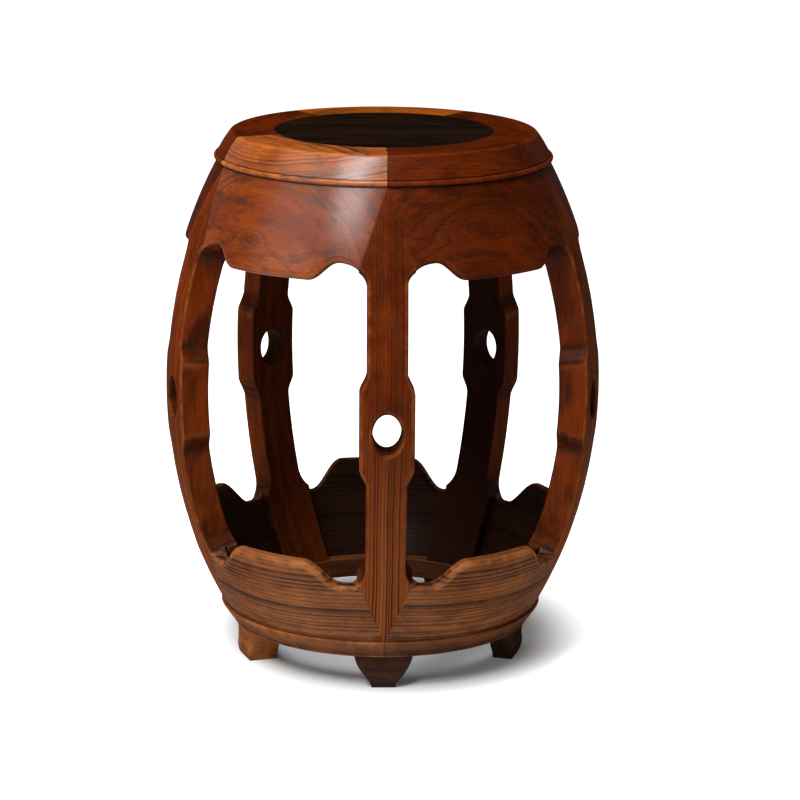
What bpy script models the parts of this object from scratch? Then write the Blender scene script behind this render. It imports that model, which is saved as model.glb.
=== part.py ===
# Drum stool in dark hardwood: a round seat on five barrel-curved legs, with shaped
# aprons above and below, a base ring and five bracket feet.
# Metres, Z up. The stool stands on Z = 0, its axis is the Z axis, and one leg faces -Y.

import math

import bmesh
import bpy
from mathutils import Matrix, Vector

# Whole stool
STOOL_HEIGHT = 0.480
LEG_COUNT = 5
FIT_GAP = 0.0003  # clearance between pieces that fit together
EDGE_ROUNDING = 0.002  # rounded arris on legs and aprons
SMALL_EASE = 0.0007  # eased edge on turned and fitted pieces

# Barrel shape that legs and aprons follow: one arc through these three radii
TOP_RADIUS = 0.1485  # under the seat
BELLY_RADIUS = 0.198
BASE_RADIUS = 0.1439  # on the base ring

# Seat: mitred frame with a floating panel
SEAT_THICKNESS = 0.026
FRAME_WIDTH = 0.0523  # panel's edge to the middle of the bead
PANEL_THICKNESS = 0.017
TONGUE_LENGTH = 0.008
TONGUE_THICKNESS = 0.005
TONGUE_DROP = 0.009  # panel top to the upper side of its tongue
BEVEL_WIDTH = 0.0120  # flat top's arris to the foot of the bevelled shoulder
BEVEL_LIFT = 0.0009  # bead's top to the foot of the bevel
BEVEL_SWELL = 0.0005  # how far the bevel stands out in its middle
TOP_ROUNDING = 0.0045  # where the flat top turns down
BEAD_OVERHANG = 0.0008  # middle of the bead outside the aprons' top
BEAD_RADIUS = 0.0022
BEAD_START = math.radians(75)
BEAD_END = math.radians(-90)
QUIRK_DEPTH = 0.0017
QUIRK_HEIGHT = 0.0012

# Batten under the panel
BRACE_WIDTH = 0.030
BRACE_REACH = 0.010  # length of each end let into the frame

# Base ring
RING_TOP = 0.0475
RING_THICKNESS = 0.017
RING_WIDTH = 0.0353
RING_LIP = 0.0024  # how far the ring stands proud of the aprons
RING_ROUNDING = 0.0013

# Aprons
APRON_THICKNESS = 0.015
LAP_GAP = 0.0008  # between an apron's back and the leg that it laps over

# Legs
LEG_DEPTH = 0.026
SHANK_HALF_WIDTH = 0.0175
KNEE_HALF_WIDTH = 0.0238
KNEE_HALF_LENGTH = 0.0505
KNEE_SHOULDER = 0.0175
POST_HALF_WIDTH = 0.0243
POST_INSET = 0.0005  # post's curve inside the leg's flank
POST_ROUNDING = 0.001
POST_TURN_MARGIN = math.radians(5)  # no point of the post's curve this close before its last
HOLE_HALF_WIDTH = 0.0126
HOLE_HALF_HEIGHT = 0.0178
HOLE_DROP = 0.0018  # hole's centre below the knee's

# Tenons between legs, seat, ring and feet
TENON_WIDTH = 0.026
TENON_SHOULDER = 0.0012  # left of the leg's end on each side of the tenon
SEAT_TENON_LENGTH = 0.014
RING_TENON_LENGTH = 0.0084
TENON_ROOT = 0.0015

# Feet
FOOT_SETBACK = 0.0063  # foot's top inside the ring's lower edge
FOOT_DEPTH = 0.0195
FOOT_TOE = 0.0018
FOOT_TOP_HALF_WIDTH = 0.0262
FOOT_SOLE_HALF_WIDTH = 0.0110
FOOT_SOLE_HEIGHT = 0.0022

# Mesh fineness
SLICE_LENGTH = 0.030  # between bends along the barrel's side
GIRTH_SLICE = 0.022  # between bends round the barrel
OUTLINE_MARGIN = 0.012  # extra stock that the trims take off
MERGE_DISTANCE = 0.00006
ROUNDING_STEPS = 0
HOLE_STEPS = 16
ARCH_STEPS = 4
LOBE_STEPS = 5
RING_STEPS = 9
TOP_STEPS = 2
BEVEL_STEPS = 2
BEAD_STEPS = 4
CORNER_STEPS = 2
SMOOTH_ANGLE = math.radians(32)
FLAT_ANGLE = math.radians(1)  # faces this close to one plane are merged

# Shares of the knee's shoulder: along the leg, and outwards
KNEE_SHOULDER_SHARES = ((0, 0), (0.68, 0.72), (0.88, 0.92), (1, 1))

# Shares of a foot's side: height above the sole's rim, and width gained
FOOT_SIDE_SHARES = ((0, 0), (0.04, 0.1), (0.16, 0.36), (0.38, 0.65), (0.68, 0.88), (1, 1))

# Shares of a foot's front: height, and how far it stands out from its top, in toes
FOOT_FRONT_SHARES = ((0, -0.8), (0.08, -0.1), (0.17, 0.6), (0.3, 1), (0.42, 0.8), (0.62, -0.1), (1, 0))

# Wood colours
RED_BROWN = (0.150, 0.042, 0.012)
ORANGE_BROWN = (0.205, 0.070, 0.018)
DARK_BROWN = (0.090, 0.030, 0.012)
NEAR_BLACK = (0.014, 0.008, 0.006)
POLISH_ROUGHNESS = 0.38

PITCH = 2 * math.pi / LEG_COUNT
SEAT_UNDERSIDE = STOOL_HEIGHT - SEAT_THICKNESS
BEAD_CENTRE_RADIUS = TOP_RADIUS + BEAD_OVERHANG
PANEL_RADIUS = BEAD_CENTRE_RADIUS - FRAME_WIDTH
RING_UNDERSIDE = RING_TOP - RING_THICKNESS
RING_OUTER_RADIUS = BASE_RADIUS + RING_LIP
RING_INNER_RADIUS = RING_OUTER_RADIUS - RING_WIDTH
KNEE_CENTRE = (SEAT_UNDERSIDE + RING_TOP) / 2
HOLE_CENTRE = KNEE_CENTRE - HOLE_DROP


def side_arc():
    """Height of the belly, and radius of the arc through the top, the belly and the base."""
    top_draw = BELLY_RADIUS - TOP_RADIUS
    base_draw = BELLY_RADIUS - BASE_RADIUS
    span = SEAT_UNDERSIDE - RING_TOP
    square = span * span + base_draw * base_draw - base_draw * top_draw
    root = math.sqrt(top_draw * top_draw * span * span + (base_draw - top_draw) * top_draw * square)
    top_rise = top_draw * square / (top_draw * span + root)
    arc_radius = (top_rise * top_rise + top_draw * top_draw) / (2 * top_draw)
    return SEAT_UNDERSIDE - top_rise, arc_radius


BELLY_HEIGHT, SIDE_ARC_RADIUS = side_arc()


class ApronEdge:
    """The shaped edge of an upper or a lower apron, and the leg's end beside it."""

    def __init__(
        self, joint, side, lobe_depth, arch_depth, crown_start, crown_length, swing_length, leg_curve,
        mitre_share
    ):
        self.joint = joint  # height of the straight edge, against seat or ring
        self.side = side  # 1 above the belly, -1 below it
        self.lobe = joint - side * lobe_depth  # height of the edge in the middle
        self.arch = joint - side * arch_depth  # height of the arch's crown
        self.crown_start = crown_start  # leg centre to the crown
        self.crown_end = crown_start + crown_length
        self.lobe_start = self.crown_end + swing_length  # leg centre to the level middle
        self.leg_curve = leg_curve  # height of the curve from the leg to the crown
        self.curve_start = self.arch - side * leg_curve
        self.mitre_foot = self.arch - side * leg_curve * mitre_share  # where the mitre meets the arch

    def leg_curve_point(self, turn):
        """Distance from the leg's middle and height, on the curve from the crown to the leg."""
        from_leg = self.crown_start - (self.crown_start - SHANK_HALF_WIDTH) * math.sin(turn)
        return from_leg, self.arch - self.side * self.leg_curve * (1 - math.cos(turn))

    def leg_half_width(self, height):
        """Half width of the leg's face inside the arch's corner."""
        rise = min(1, max(0, (height - self.curve_start) / (self.arch - self.curve_start)))
        reach = self.crown_start - SHANK_HALF_WIDTH
        return self.crown_start - reach * math.sqrt(1 - rise * rise)


UPPER = ApronEdge(
    joint=SEAT_UNDERSIDE,
    side=1,
    lobe_depth=0.076,
    arch_depth=0.0604,
    crown_start=0.042,
    crown_length=0.001,
    swing_length=0.029,
    leg_curve=0.0176,
    mitre_share=0.3,
)
LOWER = ApronEdge(
    joint=RING_TOP,
    side=-1,
    lobe_depth=0.0805,
    arch_depth=0.0562,
    crown_start=0.032,
    crown_length=0.007,
    swing_length=0.0385,
    leg_curve=0.020,
    mitre_share=0.205,
)


# Barrel geometry

def barrel_radius(height, depth=0):
    """Radius of the barrel at a height, that far below its outer face."""
    arc = SIDE_ARC_RADIUS - depth
    return BELLY_RADIUS - SIDE_ARC_RADIUS + math.sqrt(arc * arc - (height - BELLY_HEIGHT) ** 2)


def along_side(height, depth=0):
    """Length along the barrel's side from the belly to a place at a height and a depth."""
    return SIDE_ARC_RADIUS * math.asin((height - BELLY_HEIGHT) / (SIDE_ARC_RADIUS - depth))


def stock_end(edge, depth):
    """Length along the side at which a board's stock ends: past its joint, even at its back."""
    return along_side(edge.joint, depth) + edge.side * OUTLINE_MARGIN


def side_point(length, depth):
    """Radius and height of a place given by its length along the side and its depth."""
    turn = length / SIDE_ARC_RADIUS
    arc = SIDE_ARC_RADIUS - depth
    radius = BELLY_RADIUS - SIDE_ARC_RADIUS + arc * math.cos(turn)
    return radius, BELLY_HEIGHT + arc * math.sin(turn)


def round_girth(width, height):
    """A width on the barrel at a height, as it measures at the belly."""
    return width * BELLY_RADIUS / barrel_radius(height)


# Mesh helpers

def everything(bm):
    return bm.verts[:] + bm.edges[:] + bm.faces[:]


def clean(bm):
    bmesh.ops.remove_doubles(bm, verts=bm.verts[:], dist=MERGE_DISTANCE)
    bmesh.ops.dissolve_degenerate(bm, dist=MERGE_DISTANCE, edges=bm.edges[:])
    bmesh.ops.recalc_face_normals(bm, faces=bm.faces[:])


def merge_flat_faces(bm):
    bmesh.ops.dissolve_limit(bm, angle_limit=FLAT_ANGLE, verts=bm.verts[:], edges=bm.edges[:])


def trim(bm, point, normal):
    """Cut off what lies beyond a plane and close the cut."""
    cut = bmesh.ops.bisect_plane(
        bm, geom=everything(bm), dist=MERGE_DISTANCE, plane_co=point, plane_no=normal, clear_outer=True
    )
    edges = [item for item in cut["geom_cut"] if isinstance(item, bmesh.types.BMEdge)]
    bmesh.ops.holes_fill(bm, edges=edges, sides=0)
    clean(bm)


def slice_up(bm, axis, spacing):
    """Add edges across a flat slab so that it can bend."""
    low = min(v.co[axis] for v in bm.verts)
    high = max(v.co[axis] for v in bm.verts)
    count = max(2, round((high - low) / spacing))
    normal = Vector((0, 0, 0))
    normal[axis] = 1
    for step in range(1, count):
        point = normal * (low + (high - low) * step / count)
        bmesh.ops.bisect_plane(
            bm, geom=everything(bm), dist=MERGE_DISTANCE, plane_co=point, plane_no=normal
        )


def slab(loops, front, back, rounding=0):
    """A flat board cut to outlines; its face is at depth front, its back at depth back."""
    curve = bpy.data.curves.new("outline", "CURVE")
    curve.dimensions = "2D"
    curve.fill_mode = "BOTH"
    curve.extrude = (back - front) / 2 - rounding
    curve.bevel_depth = rounding
    curve.bevel_resolution = ROUNDING_STEPS
    curve.offset = -rounding
    for loop in loops:
        spline = curve.splines.new("POLY")
        spline.points.add(len(loop) - 1)
        for point, (x, y) in zip(spline.points, loop):
            point.co = (x, y, 0, 1)
        spline.use_cyclic_u = True
    holder = bpy.data.objects.new("outline", curve)
    bpy.context.collection.objects.link(holder)
    bpy.context.view_layer.update()
    depsgraph = bpy.context.evaluated_depsgraph_get()
    mesh = bpy.data.meshes.new_from_object(holder.evaluated_get(depsgraph))
    bpy.data.objects.remove(holder)
    bpy.data.curves.remove(curve)
    bm = bmesh.new()
    bm.from_mesh(mesh)
    bpy.data.meshes.remove(mesh)
    for vert in bm.verts:
        vert.co.z -= (front + back) / 2
    clean(bm)
    merge_flat_faces(bm)
    return bm


def split_wide_faces(bm):
    """Split flat faces of many corners, which could not follow a bend or a turn."""
    wide = [face for face in bm.faces if len(face.verts) > 4]
    bmesh.ops.triangulate(bm, faces=wide)


def bend_round(bm):
    """Lay a sliced slab on the barrel: X runs round it, Y along its side, -Z is depth."""
    split_wide_faces(bm)
    for vert in bm.verts:
        radius, height = side_point(vert.co.y, -vert.co.z)
        turn = vert.co.x / BELLY_RADIUS
        vert.co = Vector((radius * math.sin(turn), -radius * math.cos(turn), height))
    clean(bm)


def bend_straight(bm):
    """Bend a sliced slab along the side only, so that its two flanks stay parallel."""
    split_wide_faces(bm)
    for vert in bm.verts:
        radius, height = side_point(vert.co.y, -vert.co.z)
        vert.co = Vector((vert.co.x, -math.sqrt(radius * radius - vert.co.x ** 2), height))
    clean(bm)


def arc_points(centre, across, up, start, end, steps):
    """Points of an arc or a part of an ellipse, between two angles from the outward axis."""
    points = []
    for step in range(steps + 1):
        turn = start + (end - start) * step / steps
        points.append((centre[0] + across * math.cos(turn), centre[1] + up * math.sin(turn)))
    return points


def box(low, high):
    bm = bmesh.new()
    bmesh.ops.create_cube(bm, size=1)
    low, high = Vector(low), Vector(high)
    bmesh.ops.scale(bm, vec=high - low, verts=bm.verts[:])
    bmesh.ops.translate(bm, vec=(low + high) / 2, verts=bm.verts[:])
    return bm


def turned(bm, angle):
    bmesh.ops.rotate(bm, cent=(0, 0, 0), matrix=Matrix.Rotation(angle, 3, "Z"), verts=bm.verts[:])
    return bm


def swept(profile, angle, steps):
    """Turn a closed profile of radius and height round the axis, from -angle/2 to angle/2."""
    bm = bmesh.new()
    verts = [bm.verts.new((0, -radius, height)) for radius, height in profile]
    face = bm.faces.new(verts)
    turned(bm, -angle / 2)
    bmesh.ops.spin(
        bm, geom=verts + bm.edges[:] + [face], cent=(0, 0, 0), axis=(0, 0, 1), angle=angle, steps=steps
    )
    clean(bm)
    return bm


def to_object(name, bm, collection):
    mesh = bpy.data.meshes.new(name)
    bm.to_mesh(mesh)
    bm.free()
    obj = bpy.data.objects.new(name, mesh)
    collection.objects.link(obj)
    return obj


def combined(bm, others, operation, cutters):
    """Boolean of one body with others; returns the new body."""
    body = to_object("body", bm, cutters)
    for number, other in enumerate(others):
        cutter = to_object("cutter_%d" % number, other, cutters)
        cutter.hide_render = True
        cutter.display_type = "WIRE"
        modifier = body.modifiers.new("boolean_%d" % number, "BOOLEAN")
        modifier.object = cutter
        modifier.operation = operation
        modifier.solver = "EXACT"
    bpy.context.view_layer.update()
    depsgraph = bpy.context.evaluated_depsgraph_get()
    mesh = bpy.data.meshes.new_from_object(body.evaluated_get(depsgraph))
    result = bmesh.new()
    result.from_mesh(mesh)
    bpy.data.meshes.remove(mesh)
    for used in [body] + [modifier.object for modifier in body.modifiers]:
        bpy.data.objects.remove(used)
    clean(result)
    return result


# Seat frame: five mitred arcs with a bevelled shoulder, a bead and a groove for the panel

def seat_bevel(foot):
    """The rounded arris of the flat top, and the bevel from there down to its foot."""
    slope = math.atan2(STOOL_HEIGHT - foot.y, BEVEL_WIDTH)
    flat_radius = foot.x - BEVEL_WIDTH - TOP_ROUNDING * math.tan(slope / 2)
    middle = (flat_radius, STOOL_HEIGHT - TOP_ROUNDING)
    points = arc_points(middle, TOP_ROUNDING, TOP_ROUNDING, math.pi / 2, math.pi / 2 - slope, TOP_STEPS)
    start = Vector(points[-1])
    outwards = Vector((math.sin(slope), math.cos(slope)))
    for step in range(1, BEVEL_STEPS + 1):
        share = step / BEVEL_STEPS
        place = start.lerp(foot, share) + outwards * (BEVEL_SWELL * math.sin(math.pi * share))
        points.append(tuple(place))
    return points


def seat_frame_profile():
    inner = PANEL_RADIUS + FIT_GAP
    groove = inner + TONGUE_LENGTH
    groove_top = STOOL_HEIGHT - TONGUE_DROP + FIT_GAP
    groove_bottom = STOOL_HEIGHT - TONGUE_DROP - TONGUE_THICKNESS - FIT_GAP
    bead_height = SEAT_UNDERSIDE + QUIRK_HEIGHT + BEAD_RADIUS
    points = [
        (inner, groove_top),
        (inner, STOOL_HEIGHT - SMALL_EASE),
        (inner + SMALL_EASE, STOOL_HEIGHT),
    ]
    foot = Vector((BEAD_CENTRE_RADIUS - SMALL_EASE, bead_height + BEAD_RADIUS + BEVEL_LIFT))
    points += seat_bevel(foot)
    points += arc_points(
        (BEAD_CENTRE_RADIUS, bead_height), BEAD_RADIUS, BEAD_RADIUS, BEAD_START, BEAD_END, BEAD_STEPS
    )
    quirk = BEAD_CENTRE_RADIUS - QUIRK_DEPTH
    points += [
        (quirk, SEAT_UNDERSIDE + QUIRK_HEIGHT),
        (quirk, SEAT_UNDERSIDE),
        (inner, SEAT_UNDERSIDE),
        (inner, groove_bottom),
        (groove, groove_bottom),
        (groove, groove_top),
    ]
    return points


def arc_segment(profile):
    """One of the mitred arcs of a ring, with half a fit gap off each end."""
    bm = swept(profile, PITCH, RING_STEPS)
    for side in (-1, 1):
        turn = side * PITCH / 2
        outwards = Vector((side * math.cos(turn), side * math.sin(turn), 0))
        trim(bm, outwards * (-FIT_GAP / 2), outwards)
    return bm


def tenon_box(edge, bottom, top, clearance=0):
    """A tenon's block at the front leg, or its mortise when given a clearance."""
    half_width = TENON_WIDTH / 2 + clearance
    inner = barrel_radius(edge.joint, LEG_DEPTH) + TENON_SHOULDER - clearance
    outer = barrel_radius(edge.joint, APRON_THICKNESS + LAP_GAP) - TENON_SHOULDER + clearance
    return box((-half_width, -outer, bottom), (half_width, -inner, top))


def brace_block(clearance):
    half_length = PANEL_RADIUS + BRACE_REACH + clearance
    half_width = BRACE_WIDTH / 2 + clearance
    top = STOOL_HEIGHT - PANEL_THICKNESS - FIT_GAP + clearance
    return box((-half_length, -half_width, SEAT_UNDERSIDE - clearance), (half_length, half_width, top))


def seat_frame_segment(brace_turns, cutters):
    mortise_top = SEAT_UNDERSIDE + SEAT_TENON_LENGTH + FIT_GAP
    tools = []
    for side in (-1, 1):
        mortise = tenon_box(UPPER, SEAT_UNDERSIDE - FIT_GAP, mortise_top, FIT_GAP)
        tools.append(turned(mortise, side * PITCH / 2))
    for turn in brace_turns:
        tools.append(turned(brace_block(FIT_GAP), turn))
    return combined(arc_segment(seat_frame_profile()), tools, "DIFFERENCE", cutters)


# Seat panel: a round board with a tongue all round

def seat_panel_body():
    underside = STOOL_HEIGHT - PANEL_THICKNESS
    tongue_top = STOOL_HEIGHT - TONGUE_DROP
    tongue_bottom = tongue_top - TONGUE_THICKNESS
    reach = PANEL_RADIUS + TONGUE_LENGTH
    profile = [
        (0, underside),
        (PANEL_RADIUS, underside),
        (PANEL_RADIUS, tongue_bottom),
        (reach, tongue_bottom),
        (reach, tongue_top),
        (PANEL_RADIUS, tongue_top),
        (PANEL_RADIUS, STOOL_HEIGHT - SMALL_EASE),
        (PANEL_RADIUS - SMALL_EASE, STOOL_HEIGHT),
        (0, STOOL_HEIGHT),
    ]
    bm = bmesh.new()
    verts = [bm.verts.new((0, -radius, height)) for radius, height in profile]
    edges = [bm.edges.new(pair) for pair in zip(verts, verts[1:])]
    bmesh.ops.spin(
        bm,
        geom=verts + edges,
        cent=(0, 0, 0),
        axis=(0, 0, 1),
        angle=2 * math.pi,
        steps=RING_STEPS * LEG_COUNT,
        use_merge=True,
    )
    clean(bm)
    return bm


# Batten that keeps the panel flat, its ends let into the frame

def seat_brace_body():
    bm = brace_block(0)
    long_edges = [e for e in bm.edges if abs((e.verts[0].co - e.verts[1].co).x) > BRACE_WIDTH]
    bmesh.ops.bevel(bm, geom=long_edges, offset=SMALL_EASE, segments=1, affect="EDGES")
    return bm


# Aprons: boards with a level middle and an arch beside each leg, bent round the barrel

def arch_points(edge):
    """Half of an apron's shaped edge, from its middle to the leg, laid out flat."""
    half_pitch = PITCH / 2 * BELLY_RADIUS
    level = along_side(edge.lobe)
    points = []
    for step in range(LOBE_STEPS + 1):
        swing = (1 - math.cos(math.pi * step / LOBE_STEPS)) / 2
        from_leg = edge.lobe_start + (edge.crown_end - edge.lobe_start) * step / LOBE_STEPS
        height = edge.lobe + (edge.arch - edge.lobe) * swing
        points.append((half_pitch - round_girth(from_leg, height), along_side(height)))
    for step in range(ARCH_STEPS + 1):
        from_leg, height = edge.leg_curve_point(math.pi / 2 * step / ARCH_STEPS)
        points.append((half_pitch - round_girth(from_leg, height), along_side(height)))
    return [(0, level)] + points


def apron_outline(edge):
    half_pitch = PITCH / 2 * BELLY_RADIUS
    far = stock_end(edge, APRON_THICKNESS)
    half = arch_points(edge)
    last = half[-1]
    half += [(half_pitch, last[1]), (half_pitch, far)]
    mirrored = [(-x, y) for x, y in reversed(half[1:])]
    loop = half + mirrored
    return loop if edge.side > 0 else loop[::-1]


def mitre_slope(edge):
    """Half width that a leg's pointed face gains for each length along the side."""
    rise = abs(along_side(edge.joint) - along_side(edge.mitre_foot))
    return edge.leg_half_width(edge.mitre_foot) / rise


def mitre_cutter(edge):
    """The wedge of a leg's pointed face, grown by the fit gap."""
    joint = along_side(edge.joint)
    slope = mitre_slope(edge)
    gap = FIT_GAP * math.sqrt(1 + slope * slope)
    inner = along_side(edge.lobe) - edge.side * OUTLINE_MARGIN
    half_width = slope * abs(joint - inner) + gap
    outer = stock_end(edge, LEG_DEPTH)
    loop = [(gap, joint), (gap, outer), (-gap, outer), (-gap, joint), (-half_width, inner), (half_width, inner)]
    if edge.side < 0:
        loop.reverse()
    bm = slab([loop], -OUTLINE_MARGIN, APRON_THICKNESS + EDGE_ROUNDING)
    slice_up(bm, 1, SLICE_LENGTH / 2)
    bend_straight(bm)
    return bm


def apron_body(edge, cutters):
    bm = slab([apron_outline(edge)], 0, APRON_THICKNESS, EDGE_ROUNDING)
    slice_up(bm, 0, GIRTH_SLICE)
    slice_up(bm, 1, SLICE_LENGTH)
    bend_round(bm)
    trim(bm, Vector((0, 0, edge.joint - edge.side * FIT_GAP)), Vector((0, 0, edge.side)))
    wedges = [turned(mitre_cutter(edge), side * PITCH / 2) for side in (-1, 1)]
    return combined(bm, wedges, "DIFFERENCE", cutters)


# Legs: barrel-curved, widened at the pierced knee, pointed where the aprons meet them

def knee_half_widths():
    """Heights and half widths of the knee, from its lower end to its upper end."""
    gain = KNEE_HALF_WIDTH - SHANK_HALF_WIDTH
    lower_end = KNEE_CENTRE - KNEE_HALF_LENGTH
    upper_end = KNEE_CENTRE + KNEE_HALF_LENGTH
    lower = [
        (lower_end + KNEE_SHOULDER * along, SHANK_HALF_WIDTH + gain * out)
        for along, out in KNEE_SHOULDER_SHARES
    ]
    upper = [
        (upper_end - KNEE_SHOULDER * along, SHANK_HALF_WIDTH + gain * out)
        for along, out in reversed(KNEE_SHOULDER_SHARES)
    ]
    return lower + upper


def face_end(edge):
    """The leg's flank from its shank to the mitre's foot and past it, along the arch."""
    points = []
    for step in range(ARCH_STEPS):
        from_leg, height = edge.leg_curve_point(math.pi / 2 * (1 - step / ARCH_STEPS))
        points.append((from_leg, along_side(height)))
    far = stock_end(edge, LEG_DEPTH)
    points.append((edge.crown_start, along_side(edge.arch)))
    points.append((edge.crown_start, far))
    return points


def leg_face_outline():
    flank = face_end(LOWER)[::-1]
    flank += [(half_width, along_side(height)) for height, half_width in knee_half_widths()]
    flank += face_end(UPPER)
    return flank + [(-x, y) for x, y in reversed(flank)]


def hole_outline():
    centre = along_side(HOLE_CENTRE)
    turns = [-2 * math.pi * step / HOLE_STEPS for step in range(HOLE_STEPS)]
    return [
        (HOLE_HALF_WIDTH * math.cos(turn), centre + HOLE_HALF_HEIGHT * math.sin(turn)) for turn in turns
    ]


def leg_face(edge_list):
    """The leg's front-to-back blade, cut to a point along the mitres at both ends."""
    bm = slab([leg_face_outline(), hole_outline()], 0, LEG_DEPTH, EDGE_ROUNDING)
    for edge in edge_list:
        apex = Vector((0, along_side(edge.joint), 0))
        slope = mitre_slope(edge)
        for side in (-1, 1):
            trim(bm, apex, Vector((side, edge.side * slope, 0)).normalized())
    return bm


def post_block(edge):
    """The leg's full-width end behind the aprons, which follows the leg's curve as it widens."""
    reach = edge.crown_start - SHANK_HALF_WIDTH
    last_turn = math.asin((edge.crown_start - POST_HALF_WIDTH - POST_INSET) / reach)
    turns = [math.pi / 2 * (1 - step / ARCH_STEPS) for step in range(ARCH_STEPS)]
    half = []
    for turn in [turn for turn in turns if turn > last_turn + POST_TURN_MARGIN] + [last_turn]:
        from_leg, height = edge.leg_curve_point(turn)
        half.append((from_leg - POST_INSET, along_side(height)))
    half.append((POST_HALF_WIDTH, stock_end(edge, LEG_DEPTH)))
    loop = half + [(-x, y) for x, y in reversed(half)]
    if edge.side < 0:
        loop.reverse()
    return slab([loop], APRON_THICKNESS + LAP_GAP, LEG_DEPTH, POST_ROUNDING)


def leg_body(cutters):
    posts = [post_block(LOWER), post_block(UPPER)]
    bm = combined(leg_face((LOWER, UPPER)), posts, "UNION", cutters)
    slice_up(bm, 1, SLICE_LENGTH)
    slice_up(bm, 0, GIRTH_SLICE)
    bend_straight(bm)
    shoulder_top = UPPER.joint - FIT_GAP
    shoulder_bottom = LOWER.joint + FIT_GAP
    trim(bm, Vector((0, 0, shoulder_top)), Vector((0, 0, 1)))
    trim(bm, Vector((0, 0, shoulder_bottom)), Vector((0, 0, -1)))
    top_tenon = tenon_box(UPPER, shoulder_top - TENON_ROOT, SEAT_UNDERSIDE + SEAT_TENON_LENGTH)
    bottom_tenon = tenon_box(LOWER, RING_TOP - RING_TENON_LENGTH, shoulder_bottom + TENON_ROOT)
    return combined(bm, [top_tenon, bottom_tenon], "UNION", cutters)


# Base ring: five mitred arcs, through-mortised for the tenons of legs and feet

def base_ring_profile():
    outer_middle = barrel_radius(RING_TOP - RING_THICKNESS / 2) + RING_LIP
    outer_bottom = barrel_radius(RING_UNDERSIDE) + RING_LIP
    top_corner = (RING_OUTER_RADIUS - RING_ROUNDING, RING_TOP - RING_ROUNDING)
    bottom_corner = (outer_bottom - RING_ROUNDING, RING_UNDERSIDE + RING_ROUNDING)
    points = [
        (RING_INNER_RADIUS, RING_UNDERSIDE + SMALL_EASE),
        (RING_INNER_RADIUS, RING_TOP - SMALL_EASE),
        (RING_INNER_RADIUS + SMALL_EASE, RING_TOP),
    ]
    points += arc_points(top_corner, RING_ROUNDING, RING_ROUNDING, math.pi / 2, 0, CORNER_STEPS)
    points.append((outer_middle, RING_TOP - RING_THICKNESS / 2))
    points += arc_points(bottom_corner, RING_ROUNDING, RING_ROUNDING, 0, -math.pi / 2, CORNER_STEPS)
    points.append((RING_INNER_RADIUS + SMALL_EASE, RING_UNDERSIDE))
    return points


def base_ring_segment(cutters):
    tools = []
    for side in (-1, 1):
        mortise = tenon_box(LOWER, RING_UNDERSIDE - FIT_GAP, RING_TOP + FIT_GAP, FIT_GAP)
        tools.append(turned(mortise, side * PITCH / 2))
    return combined(arc_segment(base_ring_profile()), tools, "DIFFERENCE", cutters)


# Feet: tapered brackets with a small toe, tenoned up into the ring

def upright_slab(loop, front, back):
    """A slab stood upright: its outline is in width and height, its depth along Y."""
    bm = slab([loop], front, back)
    bmesh.ops.rotate(bm, cent=(0, 0, 0), matrix=Matrix.Rotation(math.pi / 2, 3, "X"), verts=bm.verts[:])
    return bm


def foot_body(cutters):
    top = RING_UNDERSIDE - FIT_GAP
    side_height = top - FOOT_SOLE_HEIGHT
    gain = FOOT_TOP_HALF_WIDTH - FOOT_SOLE_HALF_WIDTH
    right = [(FOOT_SOLE_HALF_WIDTH, 0)]
    for up, out in FOOT_SIDE_SHARES:
        right.append((FOOT_SOLE_HALF_WIDTH + gain * out, FOOT_SOLE_HEIGHT + side_height * up))
    front_view = right + [(-x, z) for x, z in reversed(right)]
    top_radius = barrel_radius(RING_UNDERSIDE) + RING_LIP - FOOT_SETBACK
    inner_radius = top_radius - FOOT_DEPTH
    body = upright_slab(front_view, -top_radius - OUTLINE_MARGIN, -inner_radius)
    front = [(top_radius + FOOT_TOE * out, top * up) for up, out in FOOT_FRONT_SHARES]
    side_view = [(inner_radius, 0)] + front + [(inner_radius, top)]
    reach = FOOT_TOP_HALF_WIDTH + OUTLINE_MARGIN
    side_tool = upright_slab(side_view, -reach, reach)
    turned(side_tool, -math.pi / 2)
    bm = combined(body, [side_tool], "INTERSECT", cutters)
    tenon_top = RING_TOP - RING_TENON_LENGTH - FIT_GAP
    tenon = tenon_box(LOWER, top - TENON_ROOT, tenon_top)
    return combined(bm, [tenon], "UNION", cutters)


# Materials

def wood(name, colour):
    material = bpy.data.materials.new(name)
    material.use_nodes = True
    shader = material.node_tree.nodes["Principled BSDF"]
    shader.inputs["Base Color"].default_value = (*colour, 1)
    shader.inputs["Roughness"].default_value = POLISH_ROUGHNESS
    shader.inputs["Metallic"].default_value = 0
    material.diffuse_color = (*colour, 1)
    return material


# Assembly

def place(name, mesh, material, turn, parent, collection):
    """One piece as its own object, turned to its place round the stool."""
    own_mesh = mesh.copy()
    own_mesh.name = name
    own_mesh.materials.append(material)
    obj = bpy.data.objects.new(name, own_mesh)
    obj.rotation_euler = (0, 0, turn)
    obj.parent = parent
    collection.objects.link(obj)
    return obj


def finished_mesh(name, bm):
    split_wide_faces(bm)
    mesh = bpy.data.meshes.new(name)
    bm.to_mesh(mesh)
    bm.free()
    mesh.shade_smooth()
    mesh.set_sharp_from_angle(angle=SMOOTH_ANGLE)
    return mesh


def place_round(kind, bm, material, first_turn, parent, collection):
    """Five copies of a piece, one for each leg or each gap between legs."""
    mesh = finished_mesh(kind, bm)
    for number in range(LEG_COUNT):
        turn = first_turn + PITCH * number
        place("%s_%d" % (kind, number + 1), mesh, material, turn, parent, collection)
    bpy.data.meshes.remove(mesh)


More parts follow.
